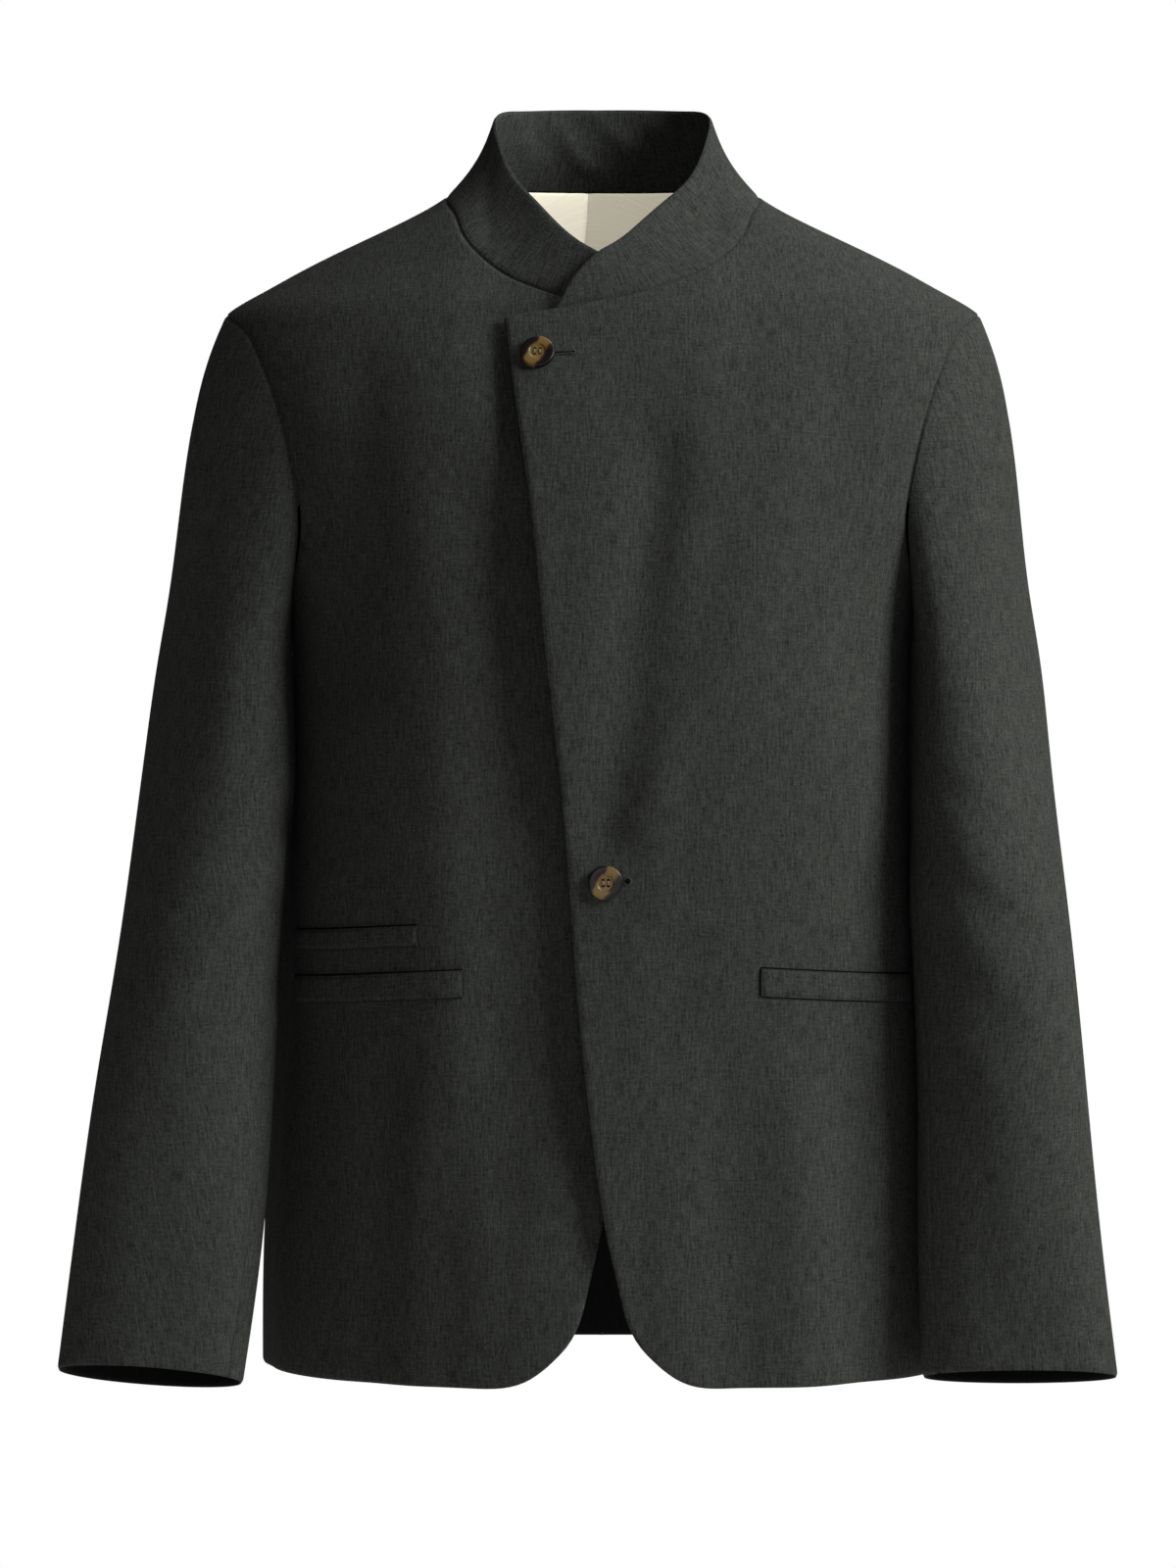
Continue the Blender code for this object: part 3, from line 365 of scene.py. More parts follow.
# Soft folds of the sleeves: turn is degrees round from the outer side by way of the front
SleeveFold = namedtuple("SleeveFold", "turn1 height1 turn2 height2 breadth depth")
SLEEVE_LEFT_FOLDS = (
    SleeveFold(60.0, -0.180, 85.0, -0.360, 0.020, -0.0024),
    SleeveFold(128.0, -0.400, 60.0, -0.455, 0.014, -0.0026),
    SleeveFold(132.0, -0.450, 85.0, -0.505, 0.013, -0.0022),
    SleeveFold(290.0, -0.360, 255.0, -0.420, 0.014, 0.0024),
    SleeveFold(120.0, -0.545, 100.0, -0.690, 0.018, -0.0020),
    SleeveFold(20.0, -0.210, 45.0, -0.330, 0.011, -0.0008),
    SleeveFold(110.0, -0.360, 60.0, -0.392, 0.009, -0.0010),
    SleeveFold(118.0, -0.492, 72.0, -0.540, 0.009, -0.0008),
    SleeveFold(300.0, -0.430, 262.0, -0.472, 0.010, 0.0010),
    SleeveFold(285.0, -0.300, 250.0, -0.345, 0.010, -0.0010),
    SleeveFold(62.0, -0.590, 74.0, -0.680, 0.011, -0.0008),
    SleeveFold(320.0, -0.540, 300.0, -0.670, 0.014, -0.0010),
    SleeveFold(146.0, -0.290, 160.0, -0.440, 0.018, 0.0014),
)
SLEEVE_RIGHT_FOLDS = (
    SleeveFold(55.0, -0.170, 90.0, -0.340, 0.022, -0.0026),
    SleeveFold(128.0, -0.385, 70.0, -0.440, 0.014, -0.0028),
    SleeveFold(130.0, -0.440, 95.0, -0.485, 0.012, -0.0020),
    SleeveFold(285.0, -0.370, 250.0, -0.430, 0.015, 0.0026),
    SleeveFold(70.0, -0.560, 95.0, -0.700, 0.019, -0.0022),
    SleeveFold(28.0, -0.230, 52.0, -0.350, 0.011, -0.0008),
    SleeveFold(112.0, -0.345, 66.0, -0.380, 0.009, -0.0009),
    SleeveFold(105.0, -0.470, 58.0, -0.520, 0.010, -0.0010),
    SleeveFold(305.0, -0.445, 265.0, -0.490, 0.010, 0.0010),
    SleeveFold(282.0, -0.310, 248.0, -0.352, 0.010, -0.0010),
    SleeveFold(118.0, -0.580, 108.0, -0.690, 0.012, -0.0008),
    SleeveFold(325.0, -0.530, 305.0, -0.660, 0.014, -0.0010),
    SleeveFold(150.0, -0.400, 158.0, -0.480, 0.018, -0.0022),
)

# How far the lapping edge stands up between the buttons, and the right front sinks beside it
EdgeLift = namedtuple("EdgeLift", "height over under")
EDGE_LIFT = (
    EdgeLift(-0.720, 0.0010, 0.0000),
    EdgeLift(-0.600, 0.0030, 0.0030),
    EdgeLift(-0.500, 0.0024, 0.0040),
    EdgeLift(-0.430, 0.0004, 0.0030),
    EdgeLift(-0.350, 0.0022, 0.0050),
    EdgeLift(-0.250, 0.0034, 0.0050),
    EdgeLift(-0.150, 0.0012, 0.0025),
    EdgeLift(-0.110, 0.0002, 0.0010),
    EdgeLift(-0.080, 0.0000, 0.0000),
)
EDGE_LIFT_REACH = 0.030
UNDER_SINK_REACH = 0.085

# Pocket welts, between their upper corners
Welt = namedtuple("Welt", "name x1 height1 x2 height2 drop")
WELTS = (
    Welt("welt_hip_left", 0.0925, -0.4735, 0.1835, -0.4793, 0.0155),
    Welt("welt_hip_right", -0.0830, -0.4745, -0.1885, -0.4805, 0.0150),
    Welt("welt_ticket_right", -0.1095, -0.4485, -0.1855, -0.4529, 0.0112),
)
WELT_FINE_COLUMNS = 70
WELT_FINE_ROWS = 12
WELT_EDGE_STEPS = (0.0, 0.03, 0.07, 0.13)
WELT_STANDOFF = 0.0006
MOUTH_WIDTH = 0.0011
SEAM_LINE = 0.0008
LINE_LIFT = 0.0005

# Buttons and their holes
Button = namedtuple("Button", "name x height hole_end eye")
BUTTONS = (
    Button("button_upper", -0.0385, -0.1130, 0.0215, 0.0008),
    Button("button_lower", 0.0013, -0.4225, 0.0142, 0.0017),
)
BUTTON_RADIUS = 0.0100
BUTTON_THICK = 0.0036
BUTTON_RIM = 0.0048
BUTTON_DISH = 0.0006
BUTTON_EDGE = 0.0008
BUTTON_SIDES = 96
BUTTON_ARC_STEPS = 6
BUTTON_DISH_STEPS = 8
BUTTON_DISH_SLOPE = 1.6
BUTTON_MERGE = 0.000002
BUTTON_STANDOFF = 0.0005
THREAD_HOLE_RADIUS = 0.0010
THREAD_HOLE_PLACE = 0.0016
THREAD_HOLE_SIDES = 20
THREAD_HOLES = 4
THREAD_RADIUS = 0.00042
THREAD_PLIES = (-0.55, 0.55)
PLY_SHARE = 0.62
THREAD_BARS = ((0, 3), (1, 2))
THREAD_STEPS = 9
THREAD_RISE = 0.9
THREAD_DIP = 6.5
THREAD_DIP_POWER = 6
SHARP_ANGLE = math.radians(40.0)

# The buttons' amber band: how far its sides wander, and where russet and brown begin and are full
BAND_WANDER = 0.005
BAND_BORDERS = ((0.38, 0.54), (0.48, 0.66))

# The worked buttonholes: half widths at the button and the eye, and the thread over their lips
HOLE_START = -0.002
HOLE_HALF_WIDTHS = (0.00075, 0.00035)
HOLE_STEPS = 24
EYE_STEPS = 15
EYE_TURN = 0.75 * math.pi
HOLE_TILT = 0.06
SLIT_OVERLAP = 0.0001
SLIT_LIFT = 0.00025
LIP_WIDTH = 0.0009
STITCH_STEP = 0.00062
STITCH_ARCH = 0.0003
STITCH_LIFT = 0.00015
STITCH_RADIUS = 0.00026
STITCH_ENDS = (-0.1, 1.1)
STITCH_POINTS = 5
STITCH_SIDES = 5

# The studio: soft square lights, some for one kind of cloth alone, each with its power in the settings
Light = namedtuple("Light", "name place size target only_for")
LIGHTS = (
    Light("key", (2.58, -1.21, 1.09), 1.3, None, None),
    Light("fill", (-0.1, -3.0, -0.3), 1.2, None, None),
    Light("top", (0.9, 0.4, 2.1), 1.6, None, None),
    Light("back", (0.0, 2.9, 0.2), 1.2, None, None),
    Light("side", (-2.4, -1.2, 0.1), 1.4, None, "sleeve"),
    Light("neck", (-0.03, -2.4, 0.1), 0.3, (0.0, 0.07, -0.03), "back_lining"),
)
FLOOR_RADIUS = 2.3
FLOOR_SIDES = 96
SENSOR_HEIGHT = 36.0

# A cut of cloth: the width and length it is cut from, and the area that is used
Cut = namedtuple("Cut", "width length area")


def columns(table):
    """The table's numbers as an array with a row for each of its rows."""
    return np.array([tuple(row) for row in table], float)


def smooth_curve(knots, values, places):
    """Natural cubic spline through values at rising knots, read at the places."""
    knots = np.asarray(knots, float)
    values = np.asarray(values, float)
    flat = values.reshape(len(knots), -1)
    span = np.diff(knots)
    rise = np.diff(flat, axis=0) / span[:, None]
    system = np.eye(len(knots))
    pull = np.zeros_like(flat)
    for i in range(1, len(knots) - 1):
        system[i, i - 1 : i + 2] = span[i - 1], 2 * (span[i - 1] + span[i]), span[i]
        pull[i] = 6 * (rise[i] - rise[i - 1])
    bend = np.linalg.solve(system, pull)
    places = np.asarray(places, float)
    spot = np.clip(places.ravel(), knots[0], knots[-1])
    i = np.clip(np.searchsorted(knots, spot) - 1, 0, len(knots) - 2)
    size = span[i][:, None]
    ahead = (knots[i + 1] - spot)[:, None]
    behind = (spot - knots[i])[:, None]
    found = (bend[i] * ahead**3 + bend[i + 1] * behind**3) / (6 * size)
    found += (flat[i] / size - bend[i] * size / 6) * ahead
    found += (flat[i + 1] / size - bend[i + 1] * size / 6) * behind
    return found.reshape(places.shape + values.shape[1:])


def ease(value):
    """Smooth step from 0 to 1 as the value goes from 0 to 1."""
    value = np.clip(value, 0.0, 1.0)
    return value * value * (3 - 2 * value)


def unit(vectors):
    """The vectors at length 1."""
    return vectors / np.linalg.norm(vectors, axis=-1, keepdims=True)


def body_section(height):
    """Half width, front depth, back depth, front power and back power at each height."""
    table = columns(BODY)
    return np.moveaxis(smooth_curve(table[:, 0], table[:, 1:], height), -1, 0)


def body_point(angle, height):
    """Point of the torso: angle 0 is the front centre, a quarter turn the left side."""
    height = np.asarray(height, float)
    half_width, front_depth, back_depth, front_power, back_power = body_section(height)
    in_front = np.cos(angle) >= 0
    depth = np.where(in_front, front_depth, back_depth)
    power = np.where(in_front, front_power, back_power)
    reach = np.abs(np.sin(angle)) ** power + np.abs(np.cos(angle)) ** power
    reach = reach ** (-1 / power)
    x = half_width * reach * np.sin(angle)
    y = -depth * reach * np.cos(angle)
    return np.stack([x, y, height], axis=-1)


def body_normal(angle, height):
    """Outward direction of the torso's surface."""
    turn = 0.002
    lift = 0.0008
    round_ward = body_point(angle + turn, height) - body_point(angle - turn, height)
    up_ward = body_point(angle, height + lift) - body_point(angle, height - lift)
    return unit(np.cross(round_ward, up_ward))


def body_angle(x, height, back=False):
    """Angle at which the torso, in front or behind, is x from the centre plane."""
    section = body_section(height)
    power = section[4] if back else section[3]
    share = np.clip(np.abs(x) / section[0], 0.0, 1.0)
    rest = (1 - share**power) ** (1 / power)
    angle = np.arctan2(share, rest)
    return np.sign(x) * (math.pi - angle if back else angle)


def fold_lift(folds, x, height):
    """Sum of the folds' soft troughs and ridges at points seen from the front."""
    lift = np.zeros_like(x)
    for fold in folds:
        run_x, run_z = fold.x2 - fold.x1, fold.height2 - fold.height1
        length = run_x**2 + run_z**2
        along = ((x - fold.x1) * run_x + (height - fold.height1) * run_z) / length
        along = np.clip(along, 0.0, 1.0)
        away = np.hypot(x - fold.x1 - along * run_x, height - fold.height1 - along * run_z)
        lift += fold.depth * np.exp(-((away / fold.breadth) ** 2))
    return lift


def edge_x(height):
    """Where the lapping edge of a front lies, measured from the centre plane."""
    edge = columns(FRONT_EDGE)
    return smooth_curve(edge[:, 1], edge[:, 0], np.minimum(height, edge[-1, 1]))


def lap_lift(x, height, over):
    """Outward shift of a front near the lap; x is positive on the front's own side."""
    table = columns(EDGE_LIFT)
    overs, unders = np.moveaxis(smooth_curve(table[:, 0], table[:, 1:], height), -1, 0)
    edge = edge_x(height)
    step = LAP_STEP * (1 - ease((x + edge) / LAP_FADE))
    if over:
        return step + overs * np.exp(-np.clip(x - edge, 0, None) / EDGE_LIFT_REACH)
    return -step - unders * (1 - ease((x + edge) / UNDER_SINK_REACH))


def side_fullness(angle, height):
    """Outward shift behind the side seams at the waist, where the cloth bunches under the arms."""
    up = (height - SIDE_FULL_HEIGHT) / SIDE_FULL_REACH
    turn = (np.abs(angle) - SIDE_FULL_MIDDLE) / SIDE_FULL_TURN
    return SIDE_FULL * np.exp(-(up**2) - turn**2)


def body_relief(angle, height, side):
    """Outward shift of the cloth from the torso: the lap and the folds, calm at the seams."""
    point = body_point(angle, height)
    x = point[..., 0]
    calm = ease(np.abs(np.abs(angle) - math.pi / 2) / SEAM_CALM)
    if np.max(np.abs(angle)) > math.pi / 2 + SEAM_CALM:
        calm = calm * ease(np.abs(np.abs(angle) - math.pi) / SEAM_CALM)
        return calm * fold_lift(BACK_FOLDS, x, height) + side_fullness(angle, height)
    folds = FRONT_LEFT_FOLDS if side > 0 else FRONT_RIGHT_FOLDS
    lift = calm * fold_lift(folds, x, height) + side_fullness(angle, height)
    return lift + lap_lift(side * x, height, side > 0)


def spread(angle, height):
    """The line through these points, as LINE_SAMPLES steps of even length."""
    points = np.stack([angle, height], axis=-1)
    solid = body_point(angle, height)
    knots = np.append(0.0, np.cumsum(np.linalg.norm(np.diff(solid, axis=0), axis=1)))
    fine = smooth_curve(knots, points, np.linspace(0.0, knots[-1], FINE_SAMPLES))
    solid = body_point(fine[:, 0], fine[:, 1])
    run = np.append(0.0, np.cumsum(np.linalg.norm(np.diff(solid, axis=0), axis=1)))
    even = np.linspace(0.0, run[-1], LINE_SAMPLES + 1)
    return np.stack([np.interp(even, run, fine[:, 0]), np.interp(even, run, fine[:, 1])], axis=-1)


def cut_line(cut, back=False):
    """Angles and heights of a table of cut points."""
    table = columns(cut)
    return body_angle(table[:, 0], table[:, 1], back), table[:, 1]


class Border:
    """One side of a panel, made of lines end to end, each with its share of the steps."""

    def __init__(self, *lines_and_steps):
        self.lines = [line for line, _ in lines_and_steps]
        steps = [count for _, count in lines_and_steps]
        self.ends = np.append(0.0, np.cumsum(steps)) / sum(steps)

    def at(self, place):
        """Angle and height at each place from 0 to 1."""
        place = np.asarray(place, float)
        found = np.zeros(place.shape + (2,))
        for line, start, end in zip(self.lines, self.ends[:-1], self.ends[1:]):
            here = (place >= start) & (place <= end)
            spot = (place[here] - start) / (end - start) * LINE_SAMPLES
            for axis in (0, 1):
                found[here, axis] = np.interp(spot, np.arange(LINE_SAMPLES + 1), line[:, axis])
        return found


class Panel:
    """A cut piece of the torso: straight rows between its inner and outer borders."""

    def __init__(self, inner, outer, hem=None):
        self.inner, self.outer, self.hem = inner, outer, hem

    def at(self, s, t):
        """Angle and height at s across from the inner border and t up from the hem."""
        inner, outer = self.inner.at(t), self.outer.at(t)
        found = inner + s[..., None] * (outer - inner)
        angle, height = found[..., 0], found[..., 1]
        if self.hem is not None:
            low = self.inner.at(np.zeros_like(t)), self.outer.at(np.zeros_like(t))
            low_angle, low_height = np.moveaxis(low[0] + s[..., None] * (low[1] - low[0]), -1, 0)
            curve = np.interp(low_angle, self.hem[:, 0], self.hem[:, 1]) - low_height
            height = height + curve * (1 - ease(t / HEM_CURVE_SHARE))
        return angle, height


def side_border(armhole):
    """Side seam, armhole and shoulder seam, from the hem to the neck point."""
    angle, height = armhole
    angle = np.concatenate([[math.pi / 2], angle, [math.pi / 2]])
    height = np.concatenate([[UNDERARM_HEIGHT], height, [SHOULDER_TIP_HEIGHT]])
    side = np.full(2, math.pi / 2)
    seam = spread(side, np.array([HEM_HEIGHT, UNDERARM_HEIGHT]))
    shoulder = spread(side, np.array([SHOULDER_TIP_HEIGHT, NECK_POINT_HEIGHT]))
    return Border((seam, SIDE_ROWS), (spread(angle, height), ARMHOLE_ROWS), (shoulder, SHOULDER_ROWS))


def front_panel():
    """The left front's cut; the right front is its mirror image."""
    edge = columns(FRONT_EDGE)
    lower = np.linspace(edge[0, 1], CHEST_EDGE_HEIGHT, LINE_SAMPLES + 1)
    upper = np.linspace(CHEST_EDGE_HEIGHT, edge[-1, 1], LINE_SAMPLES + 1)
    edge_lines = [np.stack([body_angle(edge_x(z), z), z], axis=-1) for z in (lower, upper)]
    neck_angle, neck_height = cut_line(FRONT_NECK)
    neck = spread(np.append(neck_angle, math.pi / 2), np.append(neck_height, NECK_POINT_HEIGHT))
    inner = Border(
        (edge_lines[0], SIDE_ROWS),
        (edge_lines[1], EDGE_ROWS),
        (spread(*cut_line(LAP_NECK)), LAP_ROWS),
        (neck, FRONT_NECK_ROWS),
    )
    hem_angle, hem_height = cut_line(FRONT_HEM)
    hem = spread(np.append(hem_angle, math.pi / 2), np.append(hem_height, HEM_HEIGHT))
    return Panel(inner, side_border(cut_line(FRONT_ARMHOLE)), hem)


def back_panel():
    """The left back's cut; the right back is its mirror image."""
    turns = columns(BACK_NECK)
    neck = spread(np.radians(turns[:, 0]), turns[:, 1])
    heights = (HEM_HEIGHT, UNDERARM_HEIGHT, turns[0, 1])
    lower, upper = (
        np.linspace((math.pi, low), (math.pi, high), LINE_SAMPLES + 1)
        for low, high in zip(heights[:-1], heights[1:])
    )
    inner = Border((lower, SIDE_ROWS), (upper, ARMHOLE_ROWS), (neck, BACK_NECK_ROWS))
    return Panel(inner, side_border(cut_line(BACK_ARMHOLE, back=True)))


FRONT = front_panel()
BACK = back_panel()


def cloth_points(angle, height, side, below=0.0):
    """Points below the outside of the torso's cloth, and the outward directions there."""
    normal = body_normal(angle, height)
    lift = body_relief(angle, height, side)[..., None] - below
    return body_point(angle, height) + normal * lift, normal


def panel_points(panel, side, s, t):
    """Outer points of a panel's cloth, the outward directions there, and its angles and heights."""
    angle, height = panel.at(s, t)
    return *cloth_points(side * angle, height, side), side * angle, height


def front_surface(x, height, side):
    """Points of a front's outside and the outward directions there, by x and height."""
    return cloth_points(body_angle(x, height), height, side)


def close_places(close, count, both=True):
    """Places from 0 to 1, close together at the start, and at the end too if both."""
    last = 1 - close[-1] if both else 1.0
    even = np.linspace(close[-1], last, count + 1)
    ends = 1 - np.array(close[:-1])[::-1] if both else np.zeros(0)
    return np.concatenate([close[:-1], even, ends])


def run_along(grid, axis):
    """Length along a grid's rows or columns, from their start."""
    steps = np.linalg.norm(np.diff(grid, axis=axis), axis=-1)
    start = np.zeros_like(np.take(steps, [0], axis=axis))
    return np.concatenate([start, np.cumsum(steps, axis=axis)], axis=axis)


def grain_run(angle, height):
    """Lengths round from the centre line and up from the hem, so that the weave keeps its size."""
    turns = np.linspace(0.0, math.pi, GRAIN_TURNS + 1)
    levels = np.linspace(HEM_HEIGHT, BODY[-1].height, GRAIN_LEVELS + 1)
    mesh = body_point(*np.meshgrid(turns, levels))
    i = np.clip(np.abs(angle) / math.pi, 0, GRAIN_END) * GRAIN_TURNS
    k = np.clip((height - levels[0]) / (levels[-1] - levels[0]), 0, GRAIN_END) * GRAIN_LEVELS
    i0, k0 = i.astype(int), k.astype(int)
    across, up = i - i0, k - k0
    found = []
    for table in (run_along(mesh, 1), run_along(mesh, 0)):
        low = table[k0, i0] * (1 - across) + table[k0, i0 + 1] * across
        high = table[k0 + 1, i0] * (1 - across) + table[k0 + 1, i0 + 1] * across
        found.append(low * (1 - up) + high * up)
    return np.stack([np.sign(angle) * found[0], found[1]], axis=-1)


def edge_falls(distance, seam, settings):
    """How far the outside sinks and the inside rises at a distance from a border."""
    ditch = seam * settings.seam_ditch * np.exp(-((distance / SEAM_WIDTH) ** 2))
    roll = (1 - seam) * EDGE_ROLL * np.exp(-((distance / EDGE_WIDTH) ** 2))
    return ditch + roll, roll


def cloth_walls(outer, normal, thick, seams, settings):
    """Outer and inner points with ditches at the seams and round free edges.

    seams holds, for the start and end of the rows and for the first and last row, 1 for a seam
    and 0 for a free edge, or such a number for each point along that border.
    """
    across, up = run_along(outer, 1), run_along(outer, 0)
    distances = (across, across[:, -1:] - across, up, up[-1:] - up)
    sink = np.zeros(across.shape)
    rise = np.zeros(across.shape)
    for distance, seam in zip(distances, seams):
        fall, roll = edge_falls(distance, seam, settings)
        sink += fall
        rise += roll
    inner = outer - (thick - np.minimum(rise, EDGE_ROLL))[..., None] * normal
    return outer - sink[..., None] * normal, inner


def border_middles(outer, inner, run_on):
    """Middles of the cloth's thickness, run on past its start, end, first row and last row."""
    middle = (outer + inner) / 2
    past = np.zeros_like(middle)
    past[:, 0] += run_on[0] * unit(middle[:, 0] - middle[:, 1])
    past[:, -1] += run_on[1] * unit(middle[:, -1] - middle[:, -2])
    past[0] += run_on[2] * unit(middle[0] - middle[1])
    past[-1] += run_on[3] * unit(middle[-1] - middle[-2])
    return middle + past


def shell(name, outer, inner, uv, outside, inside, run_on=(EDGE_RUN_ON,) * 4):
    """A closed cloth wall as a smooth object, its inner faces in their own material."""
    rows, across = outer.shape[:2]
    count = rows * across
    middle = border_middles(outer, inner, run_on)
    index = np.arange(count).reshape(rows, across)
    corners = index[:-1, :-1], index[:-1, 1:], index[1:, 1:], index[1:, :-1]
    quads = np.stack(corners, axis=-1).reshape(-1, 4)
    under = quads[:, ::-1] + count
    rim = np.concatenate([index[0, :-1], index[:-1, -1], index[-1, :0:-1], index[:0:-1, 0]])
    points = np.concatenate([outer.reshape(-1, 3), inner.reshape(-1, 3), middle.reshape(-1, 3)[rim]])
    after = np.roll(rim, -1)
    mid = 2 * count + np.arange(len(rim))
    mid_after = np.roll(mid, -1)
    outer_sides = np.stack([after, rim, mid, mid_after], axis=-1)
    inner_sides = np.stack([mid_after, mid, rim + count, after + count], axis=-1)
    faces = np.concatenate([quads, under, outer_sides, inner_sides])
    mesh = bpy.data.meshes.new(name)
    mesh.from_pydata(points, [], faces.tolist())
    layer = mesh.uv_layers.new(name="grain")
    flat_uv = np.concatenate([uv.reshape(-1, 2)] * 2 + [uv.reshape(-1, 2)[rim]])
    layer.uv.foreach_set("vector", flat_uv[faces.ravel()].astype(np.float32).ravel())
    mesh.materials.append(outside)
    mesh.materials.append(inside)
    slots = np.zeros(len(faces), np.int32)
    slots[len(quads) : 2 * len(quads)] = 1
    mesh.polygons.foreach_set("material_index", slots)
    mesh.shade_smooth()
    shape = bmesh.new()
    shape.from_mesh(mesh)
    bmesh.ops.recalc_face_normals(shape, faces=shape.faces)
    if shape.calc_volume(signed=True) < 0:
        bmesh.ops.reverse_faces(shape, faces=shape.faces)
    shape.to_mesh(mesh)
    shape.free()
    return linked(bpy.data.objects.new(name, mesh))


def linked(thing):
    """The object, put into the scene."""
    bpy.context.scene.collection.objects.link(thing)
    return thing


def dressed(thing, slot, *nodes):
    """Rides on the frame's one body in place of its solids; its finish slot is not used."""
    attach(thing, "root")
    if nodes:
        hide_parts(*nodes)
    return thing


def panel_cloth(name, panel, side, across, materials, settings):
    """A front or back of the torso as cloth."""
    s_places = close_places(EDGE_STEPS, across)
    t_places = close_places(HEM_STEPS, PANEL_FINE_ROWS, both=False) * (1 - APEX_SHORT)
    s, t = np.meshgrid(s_places, t_places)
    outer, normal, angle, height = panel_points(panel, side, s, t)
    neck_start = 1 - FRONT_NECK_ROWS / PANEL_ROWS
    seam_in = np.ones_like(t) if panel is BACK else np.where(t >= neck_start, 1.0, 0.0)
    seams = (seam_in, 1.0, 0.0, 1.0)
    outer, inner = cloth_walls(outer, normal, CLOTH, seams, settings)
    run_on = (SEAM_RUN_ON, SEAM_RUN_ON, EDGE_RUN_ON, SEAM_RUN_ON)
    return shell(name, outer, inner, grain_run(angle, height), *materials, run_on)


def neck_seam(side):
    """Neck seam from centre back to the collar's front end, on the cloth's outside."""
    back_start, front_end = PANEL_ROWS - BACK_NECK_ROWS, PANEL_ROWS - FRONT_NECK_ROWS
    back_t = np.linspace(back_start, PANEL_ROWS, BACK_NECK_ROWS * FINER + 1) / PANEL_ROWS
    front_t = np.linspace(PANEL_ROWS, front_end, FRONT_NECK_ROWS * FINER + 1) / PANEL_ROWS
    back = panel_points(BACK, side, np.zeros_like(back_t), back_t)[0]
    front = panel_points(FRONT, side, np.zeros_like(front_t), front_t)[0]
    return np.concatenate([back, front[1:]])


def collar_half(side):
    """Outer points of half the collar, from centre back to its front end."""
    base = neck_seam(side)
    run = np.linspace(0.0, 1.0, len(base))
    table = columns(COLLAR_TOP)
    mirrored = table[COLLAR_MIRROR_ROWS:0:-1] * np.array([-1.0, -1.0, 1.0, 1.0])
    table = np.concatenate([mirrored, table])
    top = smooth_curve(table[:, 0], table[:, 1:], run)
    step = LAP_STEP * ease((run - COLLAR_LAP_START) / (COLLAR_LAP_FULL - COLLAR_LAP_START))
    top[:, 0] *= side
    shifted = ease((run - MOUTH_START) / (MOUTH_FULL - MOUTH_START))
    top[:, 0] -= MOUTH_SHIFT * shifted * (1 - ease((run - MOUTH_FADE) / (1 - MOUTH_FADE)))
    top[:, 1] -= side * step
    up = close_places(EDGE_STEPS, COLLAR_FINE_ROWS)[:, None, None]
    return base + up * (top - base)


def grid_normal(grid):
    """Directions square to a grid of points, to its left as it is walked upward."""
    across = np.gradient(grid, axis=1)
    up = np.gradient(grid, axis=0)
    return unit(np.cross(across, up))


def sleeve_ring(section, side, turn):
    """An ellipse of the sleeve; turn 0 is the outer side, a quarter turn the front."""
    lean = math.radians(section.turn)
    out = section.half_width * np.cos(turn)
    fore = section.half_depth * np.sin(turn)
    x = section.across + out * math.cos(lean) - fore * math.sin(lean)
    y = -section.forward - out * math.sin(lean) - fore * math.cos(lean)
    z = section.height + fore * section.front_rise + out * section.outer_rise
    return np.stack([side * x, y, z], axis=-1)


def armhole_ring(side):
    """Armhole points from the shoulder tip down the front and up the back, with outward directions."""
    down = np.linspace(SIDE_ROWS + ARMHOLE_ROWS, SIDE_ROWS, ARMHOLE_ROWS * FINER + 1) / PANEL_ROWS
    front, front_out = panel_points(FRONT, side, np.ones_like(down), down)[:2]
    back, back_out = panel_points(BACK, side, np.ones_like(down), down)[:2]
    return np.concatenate([front, back[-2::-1]]), np.concatenate([front_out, back_out[-2::-1]])


def sleeve_places(count):
    """Places down the sleeve from ring to ring, close together at the armhole and the cuff."""
    places = [0.0]
    for i, rows in enumerate(CAP_ROWS + (ARM_ROWS,) * count):
        steps = rows * FINER
        places += [i + (k + 1) / steps for k in range(steps)]
    end = places[-1]
    close = [end - step for step in CUFF_STEPS[1:-1]]
    return np.array(sorted(set(places[:-1] + close + [end])))


def sleeve_grid(side, sections, folds):
    """Outer points of a whole sleeve, ring by ring, and the armhole's outward directions."""
    turn = np.linspace(0.0, 2 * math.pi, 2 * ARMHOLE_ROWS * FINER + 1)
    start, outward = armhole_ring(side)
    start = start + np.array([side * SEAM_GAP, 0.0, 0.0])
    arm = [sleeve_ring(section, side, turn) for section in sections]
    outer_way = np.clip(np.cos(turn), 0.0, 1.0)[:, None] * np.array([side, 0.0, 0.0])
    head = start + HEAD_SHARE * (arm[0] - start) + HEAD_ROLL * outer_way
    cap = start + CAP_SHARE * (arm[0] - start) + CAP_ROLL * outer_way
    rings = np.stack([start, head, cap] + arm)
    places = sleeve_places(len(arm) - 1)
    grid = np.zeros((len(places), len(turn), 3))
    for j in range(len(turn)):
        column = rings[:, j]
        steps = np.linalg.norm(np.diff(column, axis=0), axis=1)
        knots = np.append(0.0, np.cumsum(steps))
        grid[:, j] = smooth_curve(knots, column, np.interp(places, np.arange(len(knots)), knots))
    return grid + sleeve_relief(grid, turn, folds), outward


